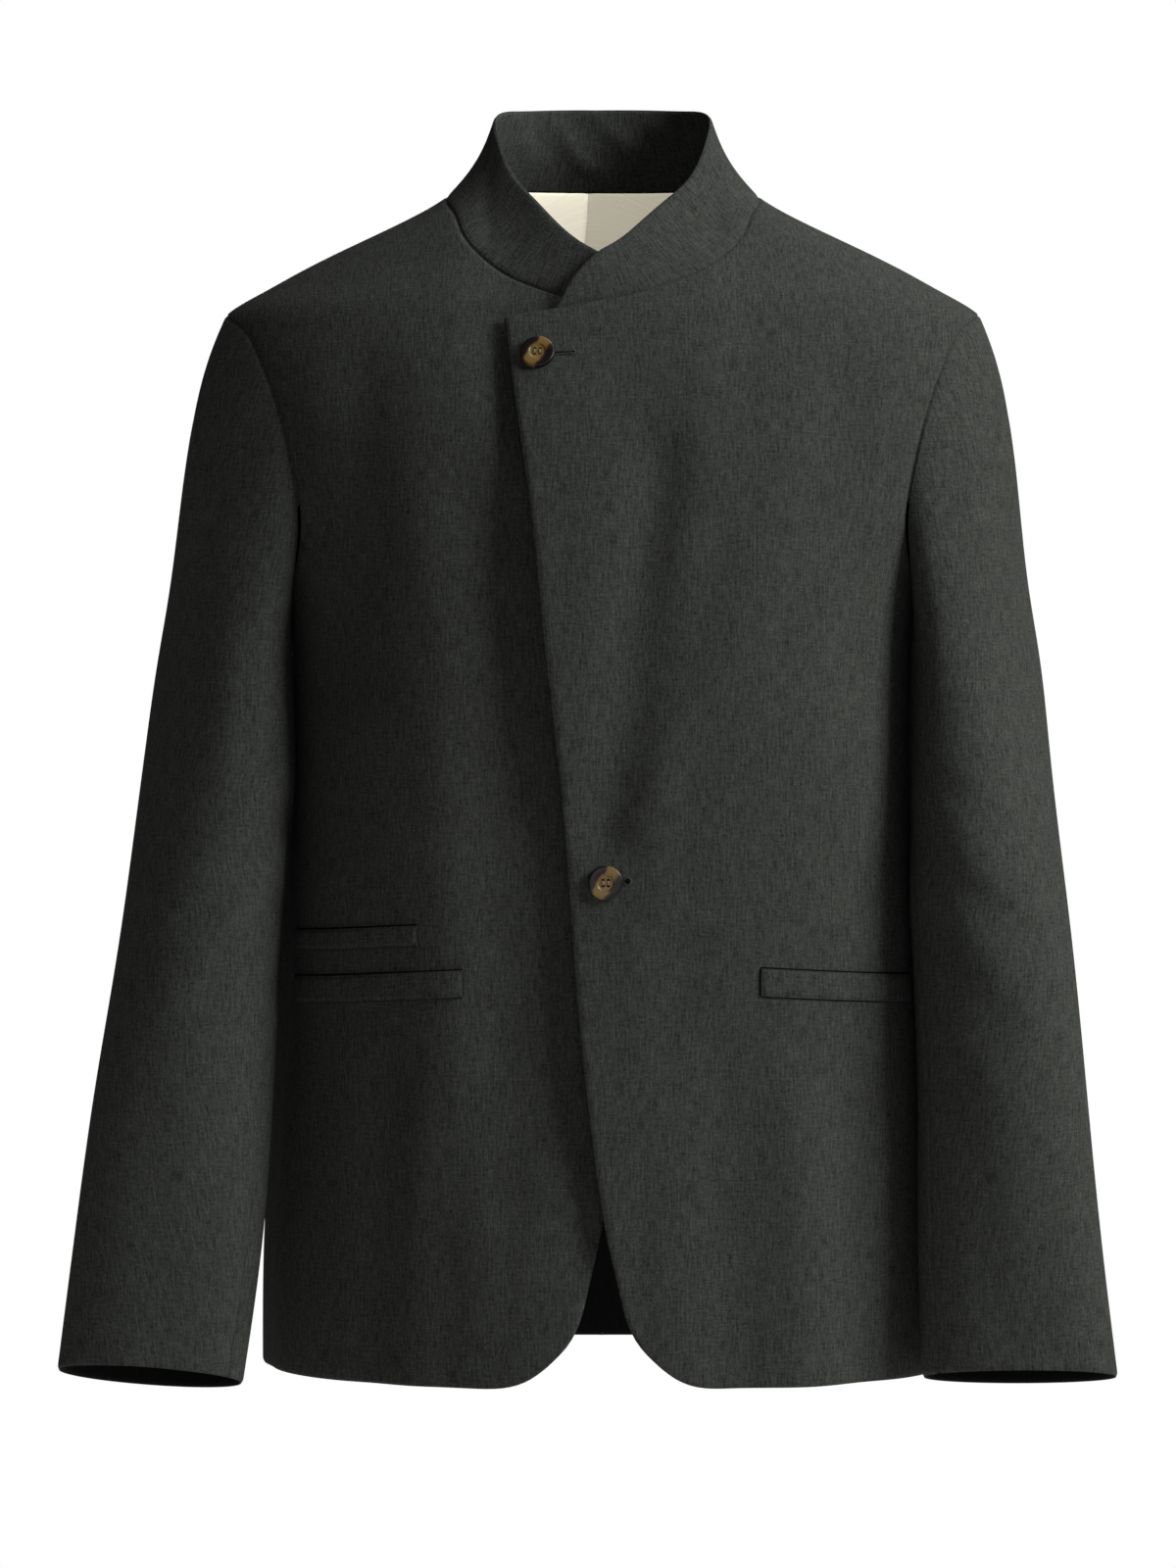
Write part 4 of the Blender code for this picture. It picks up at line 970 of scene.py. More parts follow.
def sleeve_relief(grid, turn, folds):
    """Outward shift of the sleeve's cloth for its folds."""
    centre = grid[:, :-1].mean(axis=1, keepdims=True)
    away = unit((grid - centre) * np.array([1.0, 1.0, 0.0]))
    girth = np.linalg.norm(grid - centre, axis=-1).mean(axis=1, keepdims=True)
    height = grid[..., 2]
    lift = np.zeros(height.shape)
    for fold in folds:
        along = np.clip((height - fold.height1) / (fold.height2 - fold.height1), 0.0, 1.0)
        middle = np.radians(fold.turn1 + along * (fold.turn2 - fold.turn1))
        past = height - np.clip(height, fold.height2, fold.height1)
        round_way = girth * np.angle(np.exp(1j * (turn - middle)))
        slope = girth * np.radians(fold.turn2 - fold.turn1) / (fold.height2 - fold.height1)
        aside = np.hypot(round_way / np.sqrt(1 + slope**2), past)
        lift += fold.depth * np.exp(-((aside / fold.breadth) ** 2))
    return lift[..., None] * away


def sleeve_outward(grid, side, start_outward):
    """Outward directions of the sleeve, led by the torso's where the two run on into each other."""
    open_ring = np.concatenate([grid[:, -2:-1], grid, grid[:, 1:2]], axis=1)
    own = side * grid_normal(open_ring)[:, 1:-1]
    agree = ease((own[0] * start_outward).sum(axis=-1) / HEAD_AGREE)[:, None]
    own[0] = unit(agree * start_outward + (1 - agree) * own[0])
    return own


def group_of(name, inputs, outputs):
    """A new shader node group with these named sockets, and its two end nodes."""
    group = bpy.data.node_groups.new(name, "ShaderNodeTree")
    for title, kind, value in inputs:
        socket = group.interface.new_socket(title, in_out="INPUT", socket_type=kind)
        if value is not None:
            socket.default_value = value
    for title, kind in outputs:
        group.interface.new_socket(title, in_out="OUTPUT", socket_type=kind)
    return group, group.nodes.new("NodeGroupInput"), group.nodes.new("NodeGroupOutput")


def node(tree, kind, inputs=(), **settings):
    """A node with its settings, and its inputs set to values or linked from sockets."""
    made = tree.nodes.new(kind)
    for key, value in settings.items():
        setattr(made, key, value)
    for key, value in dict(inputs).items():
        if isinstance(value, bpy.types.NodeSocket):
            tree.links.new(value, made.inputs[key])
        else:
            made.inputs[key].default_value = value
    return made


def maths(tree, operation, first, second):
    """A math node's result."""
    return node(tree, "ShaderNodeMath", {0: first, 1: second}, operation=operation).outputs[0]


def mixed(tree, share, first, second):
    """A mix node's colour between two colours, each a value or a socket."""
    return node(tree, "ShaderNodeMix", {"Factor": share, 6: first, 7: second}, data_type="RGBA").outputs[2]


def streaks(tree, grain, wide, tall, detail):
    """Noise drawn out to streaks of this width and height, in metres of cloth."""
    size = (1 / wide, 1 / tall, 1.0)
    scaled = node(tree, "ShaderNodeVectorMath", {0: grain, 1: size}, operation="MULTIPLY")
    inputs = {"Vector": scaled.outputs[0], "Scale": 1.0, "Detail": detail, "Roughness": 0.6}
    return node(tree, "ShaderNodeTexNoise", inputs, noise_dimensions="2D").outputs[0]


# How much smoother the lightest fibres are than the middling ones
LIGHT_SMOOTHER = 0.12

# A finish's other tone, as a share of its own colour, and the slight relief of seam and mouth lines
INSIDE_SHADE = 0.4
LINING_SHADE = 0.86
GAP_SHADE = 0.25
SEAM_SHADES = (0.55, 1.3)
THREAD_SHADE = 0.5
AMBER_SHADE = 0.55
FLOOR_SHADE = 0.96
LINE_RELIEF = 0.0001

# Streaks of the weave: size in metres, noise detail, share of the colour and of the relief
WeaveStreak = namedtuple("WeaveStreak", "wide tall detail share relief")
WEAVE_STREAKS = (
    WeaveStreak(0.0013, 0.0100, 2.0, 1.15, 0.60),
    WeaveStreak(0.0080, 0.0014, 2.0, 0.65, 0.40),
    WeaveStreak(0.0016, 0.0016, 3.0, 1.05, 0.70),
    WeaveStreak(0.0080, 0.0300, 2.0, 0.28, 0.00),
    WeaveStreak(0.0700, 0.0900, 2.0, 0.10, 0.00),
)


def weave_group():
    """Woven yarn: dark and light fibres run mixed along warp and weft, with a soft uneven dye."""
    inputs = (
        ("Grain", "NodeSocketVector", None),
        ("Dark", "NodeSocketColor", (0.02, 0.02, 0.02, 1)),
        ("Light", "NodeSocketColor", (0.08, 0.08, 0.08, 1)),
        ("Contrast", "NodeSocketFloat", 1.0),
        ("Rough", "NodeSocketFloat", 0.9),
    )
    outputs = (
        ("Color", "NodeSocketColor"),
        ("Roughness", "NodeSocketFloat"),
        ("Height", "NodeSocketFloat"),
    )
    group, start, end = group_of("woven_yarn", inputs, outputs)
    grain = start.outputs["Grain"]
    total = 0.5
    height = 0.0
    for wide, tall, detail, share, relief in WEAVE_STREAKS:
        found = maths(group, "SUBTRACT", streaks(group, grain, wide, tall, detail), 0.5)
        total = maths(group, "ADD", maths(group, "MULTIPLY", found, share), total)
        height = maths(group, "ADD", maths(group, "MULTIPLY", found, relief), height)
    away = maths(group, "MULTIPLY", maths(group, "SUBTRACT", total, 0.5), start.outputs["Contrast"])
    tone = node(group, "ShaderNodeClamp", {"Value": maths(group, "ADD", away, 0.5)}).outputs[0]
    colour = mixed(group, tone, start.outputs["Dark"], start.outputs["Light"])
    group.links.new(colour, end.inputs["Color"])
    rough = maths(group, "ADD", start.outputs["Rough"], maths(group, "MULTIPLY", away, -LIGHT_SMOOTHER))
    group.links.new(rough, end.inputs["Roughness"])
    group.links.new(height, end.inputs["Height"])
    return group


def shader_of(material):
    """The material's Principled shader."""
    material.use_nodes = True
    return material.node_tree.nodes["Principled BSDF"]


def woven(name, dark, light, contrast, rough, relief, sheen):
    """A woven cloth of these colours; relief is the height of its yarns."""
    material = bpy.data.materials.new(name)
    shader = shader_of(material)
    tree = material.node_tree
    group = bpy.data.node_groups.get("woven_yarn") or weave_group()
    grain = node(tree, "ShaderNodeUVMap", uv_map="grain").outputs[0]
    values = {"Grain": grain, "Dark": dark, "Light": light, "Contrast": contrast, "Rough": rough}
    weave = node(tree, "ShaderNodeGroup", values, node_tree=group)
    bump_inputs = {"Height": weave.outputs["Height"], "Distance": relief, "Strength": 0.6}
    bump = node(tree, "ShaderNodeBump", bump_inputs)
    tree.links.new(weave.outputs["Color"], shader.inputs["Base Color"])
    tree.links.new(weave.outputs["Roughness"], shader.inputs["Roughness"])
    tree.links.new(bump.outputs[0], shader.inputs["Normal"])
    shader.inputs["Specular IOR Level"].default_value = 0.10
    shader.inputs["Sheen Weight"].default_value = sheen
    shader.inputs["Sheen Roughness"].default_value = 0.45
    shader.inputs["Sheen Tint"].default_value = light


def rgba(colour, share=1.0):
    """A property's colour, or a share of it, with full alpha."""
    return (*(share * part for part in colour), 1.0)


def finish_named(name):
    """The named finish, made at its first use."""
    if name not in bpy.data.materials:
        FINISHES[name](name)
    return bpy.data.materials[name]


def wool_finish(name):
    """Dark green-grey wool with a melange of lighter fibres."""
    cloth = bpy.context.scene.blazer_cloth
    dark, light = rgba(cloth.wool_dark), rgba(cloth.wool_light)
    woven(name, dark, light, contrast=1.0, rough=0.88, relief=cloth.yarn_relief, sheen=cloth.nap)


def inside_painted_shade_finish(name):
    """The inside of the panels: a dark cloth, painted near-black as the shade inside the garment."""
    cloth = bpy.context.scene.blazer_cloth
    dark, light = rgba(cloth.inside_colour, INSIDE_SHADE), rgba(cloth.inside_colour)
    woven(name, dark, light, contrast=1.0, rough=0.75, relief=0.5 * cloth.yarn_relief, sheen=0.0)


def lining_finish(name):
    """One half of the upper-back lining, in the colour of the same name: the cream, or the cream dimmed as
    painted shade.
    """
    cloth = bpy.context.scene.blazer_cloth
    colour = getattr(cloth, name)
    dark, light = rgba(colour, LINING_SHADE), rgba(colour)
    woven(name, dark, light, contrast=0.8, rough=0.55, relief=0.5 * cloth.yarn_relief, sheen=0.1)


def gap_painted_shade_finish(name):
    """Painted shade standing in for the dark depth of a pocket mouth or buttonhole: a near-black sheet on
    the cloth.
    """
    light = rgba(bpy.context.scene.blazer_cloth.wool_dark, GAP_SHADE)
    woven(name, (0.001, 0.001, 0.001, 1), light, contrast=1.0, rough=0.95, relief=LINE_RELIEF, sheen=0.0)


def seam_shade_finish(name):
    """The soft painted shade of a sewn-down edge."""
    dark, light = (rgba(bpy.context.scene.blazer_cloth.wool_dark, share) for share in SEAM_SHADES)
    woven(name, dark, light, contrast=1.0, rough=0.95, relief=LINE_RELIEF, sheen=0.0)


def thread_finish(name):
    """Twisted sewing thread in the colour of the same name."""
    thread_colour = getattr(bpy.context.scene.blazer_trim, name)
    material = bpy.data.materials.new(name)
    shader = shader_of(material)
    tree = material.node_tree
    place = node(tree, "ShaderNodeTexCoord").outputs["Object"]
    inputs = {"Vector": place, "Scale": 900.0, "Distortion": 1.5, "Detail": 1.0}
    twist = node(tree, "ShaderNodeTexWave", inputs, bands_direction="DIAGONAL")
    colour = mixed(tree, twist.outputs[1], rgba(thread_colour, THREAD_SHADE), rgba(thread_colour))
    tree.links.new(colour, shader.inputs["Base Color"])
    bump = node(tree, "ShaderNodeBump", {"Height": twist.outputs[0], "Distance": 0.0001, "Strength": 0.5})
    tree.links.new(bump.outputs[0], shader.inputs["Normal"])
    shader.inputs["Roughness"].default_value = 0.6


def shell_button_finish(name):
    """Polished tortoiseshell: an amber band between clouded brown sides."""
    trim = bpy.context.scene.blazer_trim
    material = bpy.data.materials.new(name)
    shader = shader_of(material)
    tree = material.node_tree
    place = node(tree, "ShaderNodeTexCoord").outputs["Object"]
    inputs = {"Vector": place, "Scale": 210.0, "Detail": 4.0, "Roughness": 0.6}
    cloud = node(tree, "ShaderNodeTexNoise", inputs).outputs[0]
    turn = {"Vector": place, "Rotation": (0, 0, -trim.band_turn)}
    turned = node(tree, "ShaderNodeMapping", turn, vector_type="POINT")
    split = node(tree, "ShaderNodeSeparateXYZ", {0: turned.outputs[0]})
    shift = maths(tree, "MULTIPLY", maths(tree, "SUBTRACT", cloud, 0.5), BAND_WANDER)
    side = maths(tree, "ABSOLUTE", maths(tree, "ADD", split.outputs["Y"], shift), 0.0)
    colour = mixed(tree, cloud, rgba(trim.amber, AMBER_SHADE), rgba(trim.amber))
    for (first, last), outer in zip(BAND_BORDERS, (trim.russet, trim.brown)):
        reach = {"Value": side, "From Min": first * trim.band_width, "From Max": last * trim.band_width}
        border = node(tree, "ShaderNodeMapRange", reach, interpolation_type="SMOOTHSTEP")
        colour = mixed(tree, border.outputs[0], colour, rgba(outer))
    tree.links.new(colour, shader.inputs["Base Color"])
    rough = maths(tree, "ADD", maths(tree, "MULTIPLY", cloud, 0.12), 0.30)
    tree.links.new(rough, shader.inputs["Roughness"])
    shader.inputs["Specular IOR Level"].default_value = 0.35
    shader.inputs["Coat Weight"].default_value = 0.06
    shader.inputs["Coat Roughness"].default_value = 0.15


FINISHES = {
    "melange_wool": wool_finish,
    "wool_back": inside_painted_shade_finish,
    "lining_cream": lining_finish,
    "lining_grey": lining_finish,
    "hole_thread": thread_finish,
    "button_thread": thread_finish,
    "cloth_gap": gap_painted_shade_finish,
    "seam_shade": seam_shade_finish,
    "tortoiseshell": shell_button_finish,
}


# What the colour settings share
COLOUR = {"size": 3, "subtype": "COLOR", "min": 0, "max": 1}


class BlazerCloth(bpy.types.PropertyGroup):
    """Colours and relief of the cloth."""

    wool_dark: bpy.props.FloatVectorProperty(
        name="Dark fibres", description="Darkest fibres of the wool",
        default=(0.0165, 0.0177, 0.0158), **COLOUR,
    )
    wool_light: bpy.props.FloatVectorProperty(
        name="Light fibres", description="Lightest fibres of the wool",
        default=(0.0640, 0.0685, 0.0612), **COLOUR,
    )
    # A dark cloth painted near-black: painted shade for the inside of the garment
    inside_colour: bpy.props.FloatVectorProperty(
        name="Inside", description="Inside of the panels",
        default=(0.0035, 0.0037, 0.0034), **COLOUR,
    )
    lining_cream: bpy.props.FloatVectorProperty(
        name="Cream lining", description="Upper-back lining on the wearer's right",
        default=(0.90, 0.84, 0.68), **COLOUR,
    )
    # The cream lining dimmed: painted shade on the wearer's left half
    lining_grey: bpy.props.FloatVectorProperty(
        name="Grey lining", description="Upper-back lining on the wearer's left",
        default=(0.525, 0.48, 0.38), **COLOUR,
    )
    yarn_relief: bpy.props.FloatProperty(
        name="Yarn relief", description="Height of the yarns", default=0.0005, unit="LENGTH", min=0,
    )
    nap: bpy.props.FloatProperty(
        name="Nap", description="Soft sheen of the wool's loose fibres",
        default=0.06, subtype="FACTOR", min=0, max=1,
    )
    seam_ditch: bpy.props.FloatProperty(
        name="Seam ditch", description="How far the cloth sinks at a seam",
        default=0.0010, unit="LENGTH", min=0,
    )


class BlazerTrim(bpy.types.PropertyGroup):
    """Colours of the buttons and thread."""

    amber: bpy.props.FloatVectorProperty(
        name="Amber", description="Light band of the buttons",
        default=(0.235, 0.145, 0.040), **COLOUR,
    )
    brown: bpy.props.FloatVectorProperty(
        name="Brown", description="Dark sides of the buttons",
        default=(0.0050, 0.0032, 0.0030), **COLOUR,
    )
    russet: bpy.props.FloatVectorProperty(
        name="Russet", description="Borders of the light band",
        default=(0.060, 0.020, 0.011), **COLOUR,
    )
    hole_thread: bpy.props.FloatVectorProperty(
        name="Hole thread", description="Thread of the buttonholes",
        default=(0.034, 0.036, 0.032), **COLOUR,
    )
    button_thread: bpy.props.FloatVectorProperty(
        name="Button thread", description="Thread that holds the buttons",
        default=(0.30, 0.225, 0.165), **COLOUR,
    )
    band_width: bpy.props.FloatProperty(
        name="Band width", description="Width of the amber band",
        default=0.0088, unit="LENGTH", min=0,
    )
    band_turn: bpy.props.FloatProperty(
        name="Band turn", description="Turn of the amber band from level",
        default=math.radians(57.0), subtype="ANGLE",
    )


class BlazerStudio(bpy.types.PropertyGroup):
    """Floor, lights and camera."""

    floor_height: bpy.props.FloatProperty(
        name="Floor height", description="Floor below the shoulders of a standing wearer",
        default=-1.46, unit="LENGTH",
    )
    floor_colour: bpy.props.FloatVectorProperty(
        name="Floor", description="Colour of the floor",
        default=(0.86, 0.86, 0.85), **COLOUR,
    )
    ambient: bpy.props.FloatProperty(
        name="Ambient", description="Strength of the studio's all-round light",
        default=0.045, min=0,
    )
    key_power: bpy.props.FloatProperty(
        name="Key power", description="Power of the large soft light",
        default=103.0, unit="POWER", min=0,
    )
    fill_power: bpy.props.FloatProperty(
        name="Fill power", description="Power of the soft light in front",
        default=7.0, unit="POWER", min=0,
    )
    top_power: bpy.props.FloatProperty(
        name="Top power", description="Power of the light overhead",
        default=34.0, unit="POWER", min=0,
    )
    back_power: bpy.props.FloatProperty(
        name="Back power", description="Power of the soft light behind",
        default=70.0, unit="POWER", min=0,
    )
    side_power: bpy.props.FloatProperty(
        name="Side power", description="Power of the soft light for the sleeves",
        default=5.0, unit="POWER", min=0,
    )
    neck_power: bpy.props.FloatProperty(
        name="Neck power", description="Power of the small light for the lining",
        default=54.0, unit="POWER", min=0,
    )
    camera_x: bpy.props.FloatProperty(
        name="Camera across", description="Camera's place across", default=-0.009, unit="LENGTH",
    )
    camera_distance: bpy.props.FloatProperty(
        name="Camera distance", description="Camera's distance in front",
        default=2.6, unit="LENGTH", min=0.1,
    )
    camera_height: bpy.props.FloatProperty(
        name="Camera height", description="Camera's height", default=-0.365, unit="LENGTH",
    )
    view_height: bpy.props.FloatProperty(
        name="View height", description="Height that the view takes in at the garment",
        default=0.96, unit="LENGTH", min=0.01,
    )


def torso_pair(settings, kind, panel, across):
    """The left and right piece of a kind, in wool over the dark inside."""
    materials = finish_named("melange_wool"), finish_named("wool_back")
    for name, side in ((f"{kind}_left", 1), (f"{kind}_right", -1)):
        thing = panel_cloth(name + "_cloth", panel, side, across, materials, settings)
        dressed(thing, "wool", name)


class BLAZER_OT_fronts(bpy.types.Operator):
    """Make the two fronts, the left lapping over the right"""

    bl_idname = "blazer.fronts"
    bl_label = "Fronts"

    def execute(self, context):
        torso_pair(context.scene.blazer_cloth, "front", FRONT, FRONT_FINE_COLUMNS)
        return {"FINISHED"}


class BLAZER_OT_backs(bpy.types.Operator):
    """Make the two halves of the back"""

    bl_idname = "blazer.backs"
    bl_label = "Backs"

    def execute(self, context):
        torso_pair(context.scene.blazer_cloth, "back", BACK, BACK_FINE_COLUMNS)
        return {"FINISHED"}


class BLAZER_OT_sleeves(bpy.types.Operator):
    """Make the top and under sleeve of each arm"""

    bl_idname = "blazer.sleeves"
    bl_label = "Sleeves"

    def execute(self, context):
        settings = context.scene.blazer_cloth
        self.arm(settings, "left", 1, SLEEVE_LEFT, SLEEVE_LEFT_FOLDS)
        self.arm(settings, "right", -1, SLEEVE_RIGHT, SLEEVE_RIGHT_FOLDS)
        return {"FINISHED"}

    def arm(self, settings, name, side, sections, folds):
        """One sleeve's top and under piece, which run on into each other at the seams."""
        grid, start_outward = sleeve_grid(side, sections, folds)
        outward = sleeve_outward(grid, side, start_outward)
        round_way = run_along(grid, 1)
        below_cap = sum(CAP_ROWS) * FINER
        round_way[:below_cap] = round_way[below_cap]
        grain = np.stack([round_way, grid[..., 2]], axis=-1)
        last = 2 * ARMHOLE_ROWS * FINER
        forearm, hind = FOREARM_SEAM_COLUMN * FINER, HIND_SEAM_COLUMN * FINER
        pieces = {
            "top": np.arange(hind, last + forearm + 1) % last,
            "under": np.arange(forearm, hind + 1),
        }
        for piece, picked in pieces.items():
            seams = (1.0, 1.0, 1.0, 0.0)
            outer, inner = cloth_walls(grid[:, picked], outward[:, picked], CLOTH, seams, settings)
            uv = grain[:, picked].copy()
            wrapped = np.cumsum(np.append(0, np.diff(picked) < 0)) * grain[:, -1:, 0]
            uv[..., 0] += wrapped
            name_here = f"sleeve_{name}_{piece}"
            finishes = finish_named("melange_wool"), finish_named("wool_back")
            run_on = (SEAM_RUN_ON, SEAM_RUN_ON, ARMHOLE_RUN_ON, EDGE_RUN_ON)
            thing = shell(name_here + "_cloth", outer, inner, uv, *finishes, run_on)
            dressed(thing, "wool", name_here)


class BLAZER_OT_collar(bpy.types.Operator):
    """Make the stand-up collar, one band from end to end"""

    bl_idname = "blazer.collar"
    bl_label = "Collar"

    def execute(self, context):
        right, left = collar_half(-1), collar_half(1)
        outer = np.concatenate([right[:, ::-1], left[:, 1:]], axis=1)
        outward = unit(np.cross(outer[-1] - outer[0], np.gradient(outer[0], axis=0)))
        outward = np.broadcast_to(outward, outer.shape)
        up = close_places(EDGE_STEPS, COLLAR_FINE_ROWS)[:, None]
        run = np.linspace(-1.0, 1.0, outer.shape[1])
        bowed = 1 - ease((np.abs(run) - BOW_FULL) / (BOW_END - BOW_FULL))
        bow = COLLAR_BOW * np.sin(math.pi * up) * bowed
        creases = fold_lift(self.creases(), *np.meshgrid(run * COLLAR_HALF_LENGTH, up * COLLAR_STAND))
        outer = outer + (creases * np.sin(math.pi * up) ** COLLAR_CREASE_POWER - bow)[..., None] * outward
        seams = (0.0, 0.0, 1.0, 0.0)
        half_way = run_along(outer, 1)[len(outer) // 2]
        grain = np.stack([np.broadcast_to(half_way, outer.shape[:2]), run_along(outer, 0)], axis=-1)
        walls = cloth_walls(outer, outward, COLLAR_CLOTH, seams, context.scene.blazer_cloth)
        finishes = finish_named("melange_wool"), finish_named("melange_wool")
        run_on = (EDGE_RUN_ON, EDGE_RUN_ON, NECK_RUN_ON, EDGE_RUN_ON)
        thing = shell("collar_cloth", *walls, grain, *finishes, run_on)
        dressed(thing, "wool", "collar")
        return {"FINISHED"}

    def creases(self):
        """The collar's creases in metres along the band and up it."""
        scale = (COLLAR_HALF_LENGTH, COLLAR_STAND) * 2 + (1.0, 1.0)
        return [Fold(*(share * size for share, size in zip(fold, scale))) for fold in COLLAR_FOLDS]


class BLAZER_OT_lining(bpy.types.Operator):
    """Make the pale lining of the upper back, in two halves"""

    bl_idname = "blazer.lining"
    bl_label = "Back lining"

    def execute(self, context):
        # The left half is the cream dimmed as painted shade, the right half is the cream
        for name, side, finish in (("left", 1, "lining_grey"), ("right", -1, "lining_cream")):
            s, t = np.meshgrid(
                np.linspace(0.0, (BACK_COLUMNS - 1) / BACK_COLUMNS, LINING_FINE_COLUMNS),
                np.linspace(SIDE_ROWS / PANEL_ROWS, 1 - 1 / PANEL_ROWS, LINING_FINE_ROWS),
            )
            width = run_along(self.places(side, s, t)[0], 1)[:, -1:]
            short = np.where(t > (SIDE_ROWS + ARMHOLE_ROWS) / PANEL_ROWS, LINING_SHORT, SEAM_GAP / 2)
            s = s + (1 - s) * np.minimum(short / width, 0.5)
            outer, normal, angle, height = self.places(side, s, t)
            inner = outer - LINING_CLOTH * normal
            node_name = f"back_lining_{name}"
            cloth = finish_named(finish)
            thing = shell(node_name + "_cloth", outer, inner, grain_run(angle, height), cloth, cloth)
            dressed(thing, "lining", node_name)
        return {"FINISHED"}

    def places(self, side, s, t):
        """Points just inside the back, moved across at its middle, as panel_points gives them."""
        angle, height = BACK.at(s, t)
        near = 1 - ease((math.pi - angle) / LINING_SHIFT_TURN)
        angle = side * angle + near * LINING_SHIFT / body_section(height)[2]
        return *cloth_points(angle, height, side, CLOTH + LINING_GAP), angle, height


class BLAZER_OT_welts(bpy.types.Operator):
    """Make the pocket welts, with a strip of painted shade for the dark mouth along each upper edge"""

    bl_idname = "blazer.welts"
    bl_label = "Pocket welts"

    def execute(self, context):
        for welt in WELTS:
            self.strip(context.scene.blazer_cloth, welt)
            self.lines(welt)
        return {"FINISHED"}

    def places(self, welt, along, down):
        """Points of the front under the welt, and the outward directions there."""
        x = welt.x1 + along * (welt.x2 - welt.x1)
        height = welt.height1 + along * (welt.height2 - welt.height1) - down * welt.drop
        return front_surface(x, height, math.copysign(1.0, welt.x1))

    def strip(self, settings, welt):
        """The welt itself, a folded strip with round edges."""
        along = close_places(EDGE_STEPS[:4], WELT_FINE_COLUMNS)
        along, down = np.meshgrid(along, close_places(WELT_EDGE_STEPS, WELT_FINE_ROWS))
        points, normal = self.places(welt, along, down)
        outer = points + (WELT_STANDOFF + WELT_CLOTH) * normal
        grain = np.stack([run_along(outer, 1), -run_along(outer, 0)], axis=-1)
        walls = cloth_walls(outer, normal, WELT_CLOTH, (0.0, 0.0, 0.0, 0.0), settings)
        wool = finish_named("melange_wool")
        thing = shell(welt.name + "_cloth", *walls, grain, wool, wool)
        dressed(thing, "wool", welt.name)

    def lines(self, welt):
        """Strips of painted shade on the front: near-black in the mouth above the welt, softer along the
        seam below it and at its inner end.
        """
        end = SEAM_LINE / abs(welt.x2 - welt.x1)
        mouth, seam = MOUTH_WIDTH / welt.drop, SEAM_LINE / welt.drop
        whole_length, whole_drop = np.linspace(0, 1, WELT_FINE_COLUMNS), np.linspace(0, 1, WELT_FINE_ROWS)
        # Each run is a thin strip of painted shade laid just off the front
        runs = {
            "mouth": (whole_length, np.array([-mouth, 0.0, 0.5 * mouth]), "cloth_gap"),
            "seam": (whole_length, 1 + np.array([-0.5 * seam, 0.5 * seam, seam]), "seam_shade"),
            "end": (np.linspace(-end, 0.3 * end, 3), whole_drop, "seam_shade"),
        }
        for title, (along, down, finish) in runs.items():
            points, normal = self.places(welt, *np.meshgrid(along, down))
            outer = points + LINE_LIFT * normal
            grain = np.stack([run_along(outer, 1), run_along(outer, 0)], axis=-1)
            shade = finish_named(finish)
            run_on = (0.5 * LINE_LIFT,) * 4
            name = f"{welt.name}_{title}"
            dressed(shell(name, outer, outer - LINE_LIFT * normal, grain, shade, shade, run_on), "wool")


def button_frame(button):
    """Where a button sits: its matrix on the left front, with the front's up as its own."""
    point, normal = front_surface(np.array(button.x), np.array(button.height), 1.0)
    forward = Vector(normal)
    across = Vector((0, 0, 1)).cross(forward).normalized()
    up = forward.cross(across)
    matrix = Matrix((across, up, forward)).transposed().to_4x4()
    matrix.translation = Vector(point)
    return matrix


def tube(shape, path, radius, sides=6):
    """Adds a round tube along the path to the bmesh, with closed ends."""
    path = np.asarray(path, float)
    ahead = unit(np.gradient(path, axis=0))
    helper = np.array([0.0, 0.0, 1.0]) if abs(ahead[0, 2]) < 0.9 else np.array([1.0, 0.0, 0.0])
    rings = []
    for point, way in zip(path, ahead):
        first = unit(np.cross(way, helper))
        second = np.cross(way, first)
        turns = np.linspace(0.0, 2 * math.pi, sides, endpoint=False)
        away = [math.cos(turn) * first + math.sin(turn) * second for turn in turns]
        rings.append([shape.verts.new(point + radius * way_out) for way_out in away])
    for low, high in zip(rings[:-1], rings[1:]):
        for i in range(sides):
            shape.faces.new((low[i], low[(i + 1) % sides], high[(i + 1) % sides], high[i]))
    shape.faces.new(rings[0][::-1])
    shape.faces.new(rings[-1])


def smooth_object(name, shape, material):
    """The bmesh as a smooth-shaded object of the scene."""
    bmesh.ops.recalc_face_normals(shape, faces=shape.faces)
    mesh = bpy.data.meshes.new(name)
    shape.to_mesh(mesh)
    shape.free()
    mesh.shade_smooth()
    mesh.set_sharp_from_angle(angle=SHARP_ANGLE)
    mesh.materials.append(material)
    return linked(bpy.data.objects.new(name, mesh))


